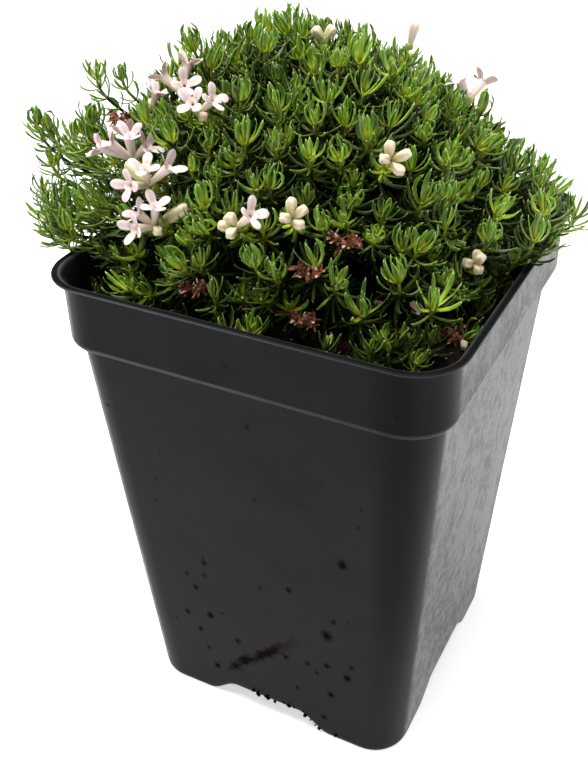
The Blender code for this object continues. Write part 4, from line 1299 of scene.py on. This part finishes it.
# Share of the length, radius and zone, up a flower's tube, a bud and a dead flower
TUBE_OUTLINE = ((0.0, 0, 0.0), (0.0, 0.00046, 0.0), (0.12, 0.00056, 0.1), (0.40, 0.00074, 0.4),
                (0.70, 0.00090, 0.7), (0.90, 0.00102, 0.95), (0.98, THROAT_RADIUS, 1.0))
BUD_OUTLINE = ((0.0, 0, 2.0), (0.0, 0.46, 2.0), (0.15, 0.58, 2.1), (0.35, 0.78, 2.3),
               (0.55, 0.93, 2.6), (0.72, 1.00, 2.9), (0.84, 0.96, 3.1), (0.92, 0.80, 3.3),
               (0.98, 0.52, 3.4), (1.0, 0.22, 3.4))
SPENT_OUTLINE = ((0.0, 0.00034, 0.0), (0.3, 0.00044, 0.2), (0.55, 0.00075, 0.5),
                 (0.75, 0.00068, 0.7), (0.92, 0.00040, 0.9))
# Depth below the mouth, radius and zone, down a flower's throat
THROAT = ((0.0003, 0.00082, 0.95), (0.0009, 0.00046, 0.7), (0.0014, 0.00026, -1.0),
          (0.0015, 0, -1.0))
# Up and out in radii, over the knob of a head
KNOB_OUTLINE = ((-0.8, 0), (-0.6, 0.62), (0.0, 0.82), (0.6, 0.6), (0.8, 0))
# Share of a flake's length and of its width, and round its section
FLAKE_OUTLINE = ((0.0, 0.5), (0.35, 1.0), (0.7, 0.8), (1.0, 0.25))
FLAKE_SECTION = ((0, 0.12), (1, 0.25), (0, -0.12), (-1, 0.25))
FLAKES_PER_FLOWER = 20
FLAKE_LENGTHS = (0.0011, 0.0026)
FLAKE_WIDTHS = (0.0004, 0.0010)
FLAKE_CURL = 0.0005
BIT_LENGTHS = (0.0006, 0.0013)
SPENT_BEND = 0.0006
# Sides of a tube, a bud, a dead flower and a knob, and lobes in shares of the radius
TUBE_SIDES = 12
BUD_SIDES = 24
BUD_LOBES = 0.13
SPENT_SIDES = 8
SPENT_LOBES = 0.22
KNOB_SIDES = 10
KNOB_ZONE = 2.05
# Angles in degrees below which edges are smooth
HEAD_SMOOTH = 50
POT_SMOOTH = 32


def petal(model, mouth, axis, radial, rise, tone, rng):
    """A petal from the mouth outwards, which rises by the rise and then curls down."""
    side = axis.cross(radial)
    curl = rng.uniform(0.2, 1.0) * PETAL_CURL
    loops = []
    for share, wide in PETAL_OUTLINE:
        out = PETAL_START + share * (PETAL_END - PETAL_START)
        up = rise * share - curl * share ** 3 - PETAL_SINK * (1 - share) ** 2
        centre = mouth + radial * out + axis * up
        half = PETAL_WIDTH * wide / 2
        cup = PETAL_CUP * wide
        loops.append([model.point(centre + side * half * x + axis * cup * z, 1.0 + share, tone,
                                  abs(x) ** 3, max(0.0, 0.8 - abs(x) * 1.6) * (1 - share * 0.6))
                      for x, z in PETAL_SECTION])
    model.skin(loops)


def open_flower(model, knob, axis, length, turn, rises, tone, rng):
    """A tube that widens to its mouth, with four petals."""
    mouth = knob + axis * length
    rings = along_axis(knob, axis, length, TUBE_OUTLINE)
    rings += [(mouth - axis * depth, axis, radius, zone) for depth, radius, zone in THROAT]
    lathe(model, rings, TUBE_SIDES, tone)
    for k, rise in enumerate(rises, 1):
        petal(model, mouth, axis, turned_by(axis, turn + math.pi * k / 2), rise, tone, rng)


def closed_bud(model, knob, axis, length, radius, tone):
    """A long bud with four lobes, closed at its tip."""
    rings = along_axis(knob, axis, length, BUD_OUTLINE, radius)
    rings.append((knob + axis * (length - 0.0001), axis, 0, 3.4))
    lathe(model, rings, BUD_SIDES, tone, BUD_LOBES)


def spent_flower(model, knob, axis, length, tone, rng):
    """A dead flower: a bent tube that ends in shrivelled flakes."""
    bend = turned_by(axis, rng.uniform(*ANY_TURN)) * SPENT_BEND - UP * SPENT_BEND
    rings = [(knob, axis, 0, 0.0)]
    rings += [(knob + axis * length * share + bend * share, axis,
               radius * rng.uniform(0.8, 1.2), zone) for share, radius, zone in SPENT_OUTLINE]
    rings.append((knob + axis * length + bend, axis, 0, 1.0))
    lathe(model, rings, SPENT_SIDES, tone, SPENT_LOBES)
    for _ in range(FLAKES_PER_FLOWER):
        start = knob + axis * length * rng.uniform(0.15, 0.95) + bend * rng.uniform(0.2, 1.2)
        away = turned_by(axis, rng.uniform(*ANY_TURN)) + axis * rng.uniform(-0.4, 0.9)
        flake(model, start, away.normalized(), rng)


def flake(model, start, away, rng, length=None, width=None, cream=0.0):
    """A curled dry scrap with a thick middle and a thin edge."""
    side, other = across(away)
    length = length or rng.uniform(*FLAKE_LENGTHS)
    width = width or rng.uniform(*FLAKE_WIDTHS)
    curl = rng.uniform(-1, 1) * FLAKE_CURL
    pale = max(rng.random(), cream)
    loops = []
    for share, wide in FLAKE_OUTLINE:
        centre = start + away * length * share + other * curl * share * share
        loops.append([model.point(centre + side * width * wide * x / 2 + other * width * z,
                                  max(share, cream), pale, 0.0, 0.0)
                      for x, z in FLAKE_SECTION])
    model.skin(loops)


def make_head(node, knob, blooms, look, rng):
    """One head. The numbers drawn from rng repeat those of its solid."""
    model = Model("zone", "tone", "edge", "groove")
    own = random.Random(node)
    lathe(model, [(knob + UP * KNOB_RADIUS * rise, UP, KNOB_RADIUS * wide, KNOB_ZONE)
                  for rise, wide in KNOB_OUTLINE], KNOB_SIDES, 0.0)
    drawn = []
    for bloom in blooms:
        turn = rng.uniform(0, math.pi / 2)
        if bloom.kind == "open":
            drawn.append((turn, [PETAL_LENGTH * rng.uniform(*PETAL_RISE) for _ in range(4)]))
        else:
            drawn.append((turn, [rng.uniform(-1, 1), rng.uniform(-1, 1)]))
    shown = FULLER_HEADS.get(node, blooms)
    axes = [heading(bloom.heading, bloom.rise) for bloom in shown]
    mean = sum(axes, Vector()) / len(axes)
    for number, (bloom, axis) in enumerate(zip(shown, axes)):
        tone = own.uniform(*HEAD_FLUSH.get(node, FLUSH))
        if number < len(blooms) and blooms[number].kind == bloom.kind:
            turn, shifts = drawn[number]
        else:
            turn = own.uniform(0, math.pi / 2)
            shifts = [PETAL_LENGTH * own.uniform(*PETAL_RISE) for _ in range(4)]
        if bloom.kind == "funnel":
            side, other = across(axis)
            turn = math.atan2(FRONT_VIEW.dot(other), FRONT_VIEW.dot(side))
            turn += own.uniform(*FUNNEL_TURN)
        if bloom.kind in PETAL_LIFT:
            rises = [shift + PETAL_LIFT[bloom.kind] for shift in shifts]
            open_flower(model, knob, axis, bloom.length, turn, rises, tone, own)
        elif bloom.kind == "bud":
            splayed = (axis + (axis - mean) * BUD_SPLAY).normalized()
            radius = BUD_RADIUS + max(0.0, bloom.length - BUD_SLIM_TO) * BUD_SWELL
            closed_bud(model, knob, splayed, bloom.length * BUD_LONGER, radius, tone * BUD_FLUSH)
        else:
            spent_flower(model, knob, axis, bloom.length, tone, own)
    if node == "fallen_husks":
        flake(model, BRACT_PLACE, BRACT_AXIS, own, *BRACT_SIZE, BRACT_CREAM)
        for place in BITS:
            for _ in range(BIT_FLAKES):
                away = turned_by(UP, own.uniform(*ANY_TURN)) + UP * own.uniform(-0.2, 1.4)
                flake(model, place, away.normalized(), own, own.uniform(*BIT_LENGTHS))
    item = show(node + "_blooms", new_mesh(model.bm, node, HEAD_SMOOTH), look)
    stand_for(item, node)


# Pot and compost

def arch_rise(t):
    """Height of the arch between two feet, t from the middle of a side."""
    s = min(max((ARCH_OUTER - abs(t)) / (ARCH_OUTER - ARCH_INNER), 0.0), 1.0)
    return FOOT_ARCH * s * s * (3 - 2 * s)


def stations():
    """Places along a side at which the arches have points."""
    side = [ARCH_OUTER + (ARCH_INNER - ARCH_OUTER) * i / ARCH_STEPS for i in range(ARCH_STEPS + 1)]
    return side + [-t for t in reversed(side)]


def body_half(height):
    """Half the width of the tapered body at a height."""
    return BASE_HALF + (SHOULDER_HALF - BASE_HALF) * height / SHOULDER_HEIGHT


def quarter_turn(x, y, turns):
    for _ in range(turns % 4):
        x, y = -y, x
    return x, y


def ring(bm, height, half_at, radius, arched=False):
    """Loop of points round the pot, with the same number at every height."""
    loop = []
    half = half_at(height)
    straight = half - radius
    for turns in range(4):
        for step in range(CORNER_STEPS + 1):
            angle = math.radians(90 * step / CORNER_STEPS)
            x, y = straight + radius * math.cos(angle), straight + radius * math.sin(angle)
            loop.append((*quarter_turn(x, y, turns), height))
        run = straight - CORNER_HOLD
        for t in [run, *stations(), -run]:
            z = height + (arch_rise(t) if arched else 0.0)
            loop.append((*quarter_turn(t, half_at(z), turns), z))
    return [bm.verts.new((x + POT_AXIS.x, y + POT_AXIS.y, z)) for x, y, z in loop]


def level_ring(bm, height, half, radius):
    return ring(bm, height, lambda z: half, radius)


def arched_ring(bm, height, inset):
    """Ring that follows the arches between the feet, inset from the body's face."""
    return ring(bm, height, lambda z: body_half(z) - inset, BODY_RADIUS - inset, arched=True)


def arched_floor(bm, edge, height):
    """Floor inside an arched ring, with a cross of raised channels."""
    lines = stations()
    last = len(lines) - 1
    grid = {}
    for i, x in enumerate(lines):
        for j, y in enumerate(lines):
            z = height + max(arch_rise(x), arch_rise(y))
            grid[i, j] = bm.verts.new((x + POT_AXIS.x, y + POT_AXIS.y, z))
    for i in range(last):
        for j in range(last):
            bm.faces.new((grid[i, j], grid[i + 1, j], grid[i + 1, j + 1], grid[i, j + 1]))
    per_side = CORNER_STEPS + 1 + len(lines) + 2
    for turns in range(4):
        def at(i):
            a, b = i, 0
            for _ in range(turns):
                a, b = last - b, a
            return grid[a, b]
        first = turns * per_side + CORNER_STEPS + 2
        side = edge[first:first + len(lines)]
        for i in range(last):
            bm.faces.new((side[i], side[i + 1], at(i + 1), at(i)))
        arc = edge[turns * per_side:turns * per_side + CORNER_STEPS + 2]
        before = edge[turns * per_side - 1]
        last_side = edge[turns * per_side - 2]
        bm.faces.new((last_side, before, *arc, side[0], at(0)))


def pot_mesh():
    bm = bmesh.new()
    # Each ring carries the strength of the painted highlight lines on it
    glint_lines = bm.verts.layers.float.new("rub")
    body_top = SHOULDER_HEIGHT - SHOULDER_STEP
    neck = POT_HEIGHT - LIP_EDGE
    levels = [(height, body_half(height), BODY_RADIUS, 0.0)
              for height in (PLAIN_BODY_FROM, POT_HEIGHT / 2, body_top - 0.0008)]
    levels += [(body_top, SHOULDER_HALF, BODY_RADIUS + 0.0001, 0.0),
               (body_top + 0.0003, SHOULDER_HALF + 0.0003, BODY_RADIUS + 0.0003, 0.2)]
    levels += [(body_top + up, COLLAR_HALF - inset, COLLAR_RADIUS - tighter, rub)
               for up, inset, tighter, rub in STEP_PROFILE]
    levels += [(neck - depth, COLLAR_HALF + wider, COLLAR_RADIUS + rounder, 0.0)
               for depth, wider, rounder in NECK_PROFILE]
    levels += [(POT_HEIGHT - depth, LIP_HALF - inset, LIP_RADIUS - inset * 0.9, rub)
               for depth, inset, rub in LIP_ROLL]
    inside = (
        (POT_HEIGHT - 0.0032, COLLAR_HALF, 0.0, COLLAR_RADIUS),
        (SHOULDER_HEIGHT + 0.0014, COLLAR_HALF, 0.0, COLLAR_RADIUS),
        (SHOULDER_HEIGHT + 0.0005, COLLAR_HALF, 0.0001, COLLAR_RADIUS),
        (body_top + 0.0005, SHOULDER_HALF, 0.0, BODY_RADIUS),
        (body_top - 0.0008, SHOULDER_HALF, 0.00005, BODY_RADIUS),
        (PLAIN_BODY_FROM + FLOOR, body_half(PLAIN_BODY_FROM), 0.0, BODY_RADIUS),
    )
    levels += [(height, half - WALL - inset, radius - WALL, 0.0)
               for height, half, inset, radius in inside]
    rings = [arched_ring(bm, height, inset) for height, inset in
             ((0.0, EDGE), (EDGE * 0.3, EDGE * 0.25), (EDGE, 0.0), (2 * EDGE, 0.0))]
    for height, half, radius, rub in levels:
        rings.append(level_ring(bm, height, half, radius))
        for vert in rings[-1]:
            vert[glint_lines] = rub
    rings.append(arched_ring(bm, FLOOR, WALL))
    for first, second in zip(rings, rings[1:]):
        join_loops(bm, first, second)
    arched_floor(bm, rings[0], 0.0)
    arched_floor(bm, rings[-1], FLOOR)
    return new_mesh(bm, "pot")


def stick_dirt(mesh):
    """Add crumbs of compost that cling along the lower edge of the front wall."""
    rng = random.Random(SEED)
    bm = bmesh.new()
    bm.from_mesh(mesh)
    dirt = bm.verts.layers.float.new("dirt")
    for _ in range(DIRT_CRUMBS):
        x = rng.uniform(*DIRT_ALONG)
        z = arch_rise(x - POT_AXIS.x) + rng.uniform(-0.0002, 0.0014)
        centre = Vector((x, POT_AXIS.y - body_half(z), z))
        radius = rng.uniform(*DIRT_RADIUS)
        made = bmesh.ops.create_icosphere(bm, subdivisions=1, radius=1.0)
        for vert in made["verts"]:
            lump = 1 + 0.6 * noise.noise(vert.co * 1.7 + centre * 900)
            vert.co = vert.co * radius * lump + centre
            vert[dirt] = 1.0
            for face in vert.link_faces:
                face.smooth = True
    bm.to_mesh(mesh)
    bm.free()


def make_pot(look):
    pot = show("nursery_pot", pot_mesh(), look)
    bm = bmesh.new()
    for x, y in [(0, 0)] + [quarter_turn(DRAIN_OFFSET, 0, turns) for turns in range(4)]:
        made = bmesh.ops.create_cone(bm, cap_ends=True, segments=24, radius1=DRAIN_RADIUS,
                                     radius2=DRAIN_RADIUS, depth=2 * FOOT_ARCH)
        bmesh.ops.translate(bm, verts=made["verts"],
                            vec=(x + POT_AXIS.x, y + POT_AXIS.y, FOOT_ARCH))
    cutter = show("drain_cutter", new_mesh(bm, "drain_cutter"))
    drains = pot.modifiers.new("drains", "BOOLEAN")
    drains.operation = "DIFFERENCE"
    drains.solver = "EXACT"
    drains.object = cutter
    pot.data = evaluated(pot, "nursery_pot")
    pot.modifiers.clear()
    bpy.data.objects.remove(cutter)
    stick_dirt(pot.data)
    pot.data.set_sharp_from_angle(angle=math.radians(POT_SMOOTH))
    dress(pot, look)
    stand_for(pot, "pot")


def crumb_mesh(number):
    bm = bmesh.new()
    bmesh.ops.create_icosphere(bm, subdivisions=1, radius=0.5)
    for vert in bm.verts:
        vert.co *= 1 + 0.7 * noise.noise(vert.co * 2.3 + Vector((number * 7.1, 0, 0)))
        vert.co.z *= 0.75
    return new_mesh(bm, f"crumb_{number}")


CRUMB_INPUTS = (("Crumbs", "Collection"), ("Crumbs per square metre", "Float"), ("Seed", "Int"),
                ("Compost material", "Material"))


def crumb_nodes(graph, ground, crumbs, density, seed, look):
    """Crumbs strewn over the flat top of the compost."""
    def drawn(kind, inputs, output=0):
        return graph.node("FunctionNodeRandomValue", {**inputs, 8: seed}, output, data_type=kind)

    points = graph.node("GeometryNodeDistributePointsOnFaces",
                        {0: ground, 4: graph.stored("top") * density, 6: seed})
    least, most = ([angle] * 3 for angle in ANY_TURN)
    turn = drawn("FLOAT_VECTOR", {0: least, 1: most})
    size = drawn("FLOAT", {2: 0.0, 3: 1.0}, 1)
    size = CRUMB_LEAST + size * size * size * CRUMB_MORE
    points = graph.node("GeometryNodeStoreNamedAttribute",
                        {0: points, 2: "grit", 3: drawn("BOOLEAN", {6: GRIT_SHARE}, 3)},
                        data_type="FLOAT", domain="POINT")
    strewn = graph.join(ground, graph.repeat(points, crumbs, {5: turn, 6: size}))
    return graph.node("GeometryNodeSetMaterial", {0: strewn, 2: look})


def soil_mesh():
    bm = bmesh.new()
    top = bm.verts.layers.float.new("top")
    skin = WALL + GAP
    body = SHOULDER_HALF - skin - GAP
    collar = COLLAR_HALF - skin
    profile = (
        (PLAIN_BODY_FROM + FLOOR + GAP, body_half(PLAIN_BODY_FROM) - skin, BODY_RADIUS - skin),
        (SHOULDER_HEIGHT - SHOULDER_STEP, body, BODY_RADIUS - skin),
        (SHOULDER_HEIGHT - 0.0005, body, BODY_RADIUS - skin),
        (SHOULDER_HEIGHT + 0.0012, collar, COLLAR_RADIUS - skin),
        (SOIL_TOP - 0.0004, collar, COLLAR_RADIUS - skin),
    )
    base = arched_ring(bm, FLOOR + GAP, skin)
    rings = [base] + [level_ring(bm, *level) for level in profile]
    for first, second in zip(rings, rings[1:]):
        join_loops(bm, first, second)
    arched_floor(bm, base, FLOOR + GAP)
    # The lumpy top, in rings from the wall to the crown
    centre = Vector((*(POT_AXIS + CROWN_OFFSET), SOIL_TOP))
    last = rings[-1]
    for step in range(1, SOIL_RINGS):
        share = (step / SOIL_RINGS) ** 0.85
        loop = []
        for vert in rings[-1]:
            place = vert.co.lerp(centre, share)
            lumps = sum(noise.noise(place * scale) * height for scale, height in SOIL_LUMPS)
            place.z = SOIL_TOP + lumps * min(1.0, step / 3)
            point = bm.verts.new(place)
            point[top] = 1.0
            loop.append(point)
        join_loops(bm, last, loop)
        last = loop
    bm.faces.new(last)
    grit = bm.verts.layers.float.new("grit")
    made = bmesh.ops.create_cube(bm, size=2.0)
    for vert in made["verts"]:
        lump = 1 + 0.9 * noise.noise(vert.co * 1.9)
        vert.co = Vector(a * b * lump for a, b in zip(vert.co, CHIP_SIZE)) + CHIP_PLACE
        vert[grit] = 1.0
    return new_mesh(bm, "compost_top")


def make_soil(look):
    shelf = shelf_of("crumb", [crumb_mesh(number) for number in range(CRUMB_SHAPES)])
    tree, sockets = node_group("crumbs", CRUMB_INPUTS, crumb_nodes)
    item = show("crumbly_compost", soil_mesh())
    apply_nodes(item, "crumbly_compost", tree, sockets, (shelf, CRUMB_DENSITY, CRUMB_SEED, look))
    clear_shelf(shelf)
    stand_for(item, "soil")


# Camera, light and floor

# Fitted to the photo: place, azimuth, elevation and roll in degrees, and lens
CAMERA_PLACE = (0.09552, -0.18566, 0.21855)
CAMERA_ANGLES = (27.88, 33.768, -1.253)
CAMERA_LENS = 49.28


def set_camera():
    azimuth, elevation, roll = map(math.radians, CAMERA_ANGLES)
    back = Vector((math.sin(azimuth) * math.cos(elevation),
                   -math.cos(azimuth) * math.cos(elevation), math.sin(elevation)))
    right = Vector((math.cos(azimuth), math.sin(azimuth), 0))
    up = back.cross(right)
    turned = right * math.cos(roll) + up * math.sin(roll)
    upright = up * math.cos(roll) - right * math.sin(roll)
    camera = bpy.data.cameras.new("camera")
    camera.lens = CAMERA_LENS
    camera.sensor_width = 36
    camera.clip_start = 0.01
    camera.dof.use_dof = False
    item = bpy.data.objects.new("camera", camera)
    axes = Matrix((turned, upright, back)).transposed().to_4x4()
    item.matrix_world = Matrix.Translation(CAMERA_PLACE) @ axes
    bpy.context.scene.collection.objects.link(item)
    bpy.context.scene.camera = item


# Name, place, target, size and power
LIGHTS = (
    ("overhead", (-0.10, -0.05, 0.75), (0, 0, 0.11), (0.45, 0.45), 8.6),
    ("right_window", (0.50, 0.50, 0.22), (0.1, 0.12, 0.0), (0.6, 0.4), 3.5),
    ("front_fill", (0.1, -0.8, 0.55), (0, 0, 0.11), (0.5, 0.5), 1.5),
)
SKY_STRENGTH = 0.25


def area_light(name, place, target, size, power):
    light = bpy.data.lights.new(name, "AREA")
    light.shape = "RECTANGLE"
    light.size, light.size_y = size
    light.energy = power
    item = bpy.data.objects.new(name, light)
    item.location = place
    item.rotation_euler = (Vector(target) - Vector(place)).to_track_quat("-Z", "Y").to_euler()
    bpy.context.scene.collection.objects.link(item)


def set_light():
    scene = bpy.context.scene
    scene.view_settings.view_transform = "Standard"
    world = bpy.data.worlds.new("studio")
    world.use_nodes = True
    sky = world.node_tree.nodes["Background"]
    sky.inputs[0].default_value = (1, 1, 1, 1)
    sky.inputs[1].default_value = SKY_STRENGTH
    scene.world = world
    for light in LIGHTS:
        area_light(*light)


def make_floor(look):
    bm = bmesh.new()
    bmesh.ops.create_grid(bm, x_segments=2, y_segments=2, size=3.0)
    floor = show("studio_floor", new_mesh(bm, "studio_floor"), look)


# Everything together

leaf = material("woodruff_leaf", leaf_look)
petals = material("woodruff_petal", petal_look)
spent = material("dead_flower", spent_look)
plastic = material("pot_plastic_satin", plastic_look)
compost = material("peat_compost", compost_look)
bark = material("woody_bark", bark_look)

set_camera()
set_light()
make_floor(material("pale_floor", floor_look))
make_pot(plastic)
make_soil(compost)
crown = frame["nodes"]["woody_crown"]
for slot in crown.material_slots:
    slot.material = bark

stems = lay_out()
flowers = [seat_head(head, stems) for head in FLOWER_HEADS]
dead = [seat_head(head, stems) for head in DEAD_HEADS]
husks_knob = Vector((*(POT_AXIS + HUSKS_PLACE), SOIL_TOP + HUSKS_HEIGHT))
blooms = Blooms()
for number, seat in enumerate(flowers, 1):
    blooms.add(seat.knob, FULLER_HEADS.get(f"flower_head_{number:02d}", seat.blooms))
for seat in dead:
    blooms.add(seat.knob, seat.blooms)
for seat in [flowers[index] for index in CLEAR_FLOWERS] + [dead[index] for index in CLEAR_DEAD]:
    blooms.clear_view(seat.knob)
blooms.clear_view(flowers[SIXTH_HEAD].knob + heading(*SIDE_BUD) * SIDE_BUD_OUT)
blooms.rods.append((BRACT_PLACE, BRACT_PLACE + FRONT_VIEW * BRACT_AHEAD))
blooms.add(husks_knob, HUSKS)
make_stems(stems, flowers + dead, blooms, leaf)
draw = random.Random(SEED)
for number, seat in enumerate(flowers, 1):
    make_head(f"flower_head_{number:02d}", seat.knob, seat.blooms, petals, draw)
for number, seat in enumerate(dead, 1):
    make_head(f"dead_head_{number:02d}", seat.knob, seat.blooms, spent, draw)
make_head("fallen_husks", husks_knob, HUSKS, spent, draw)
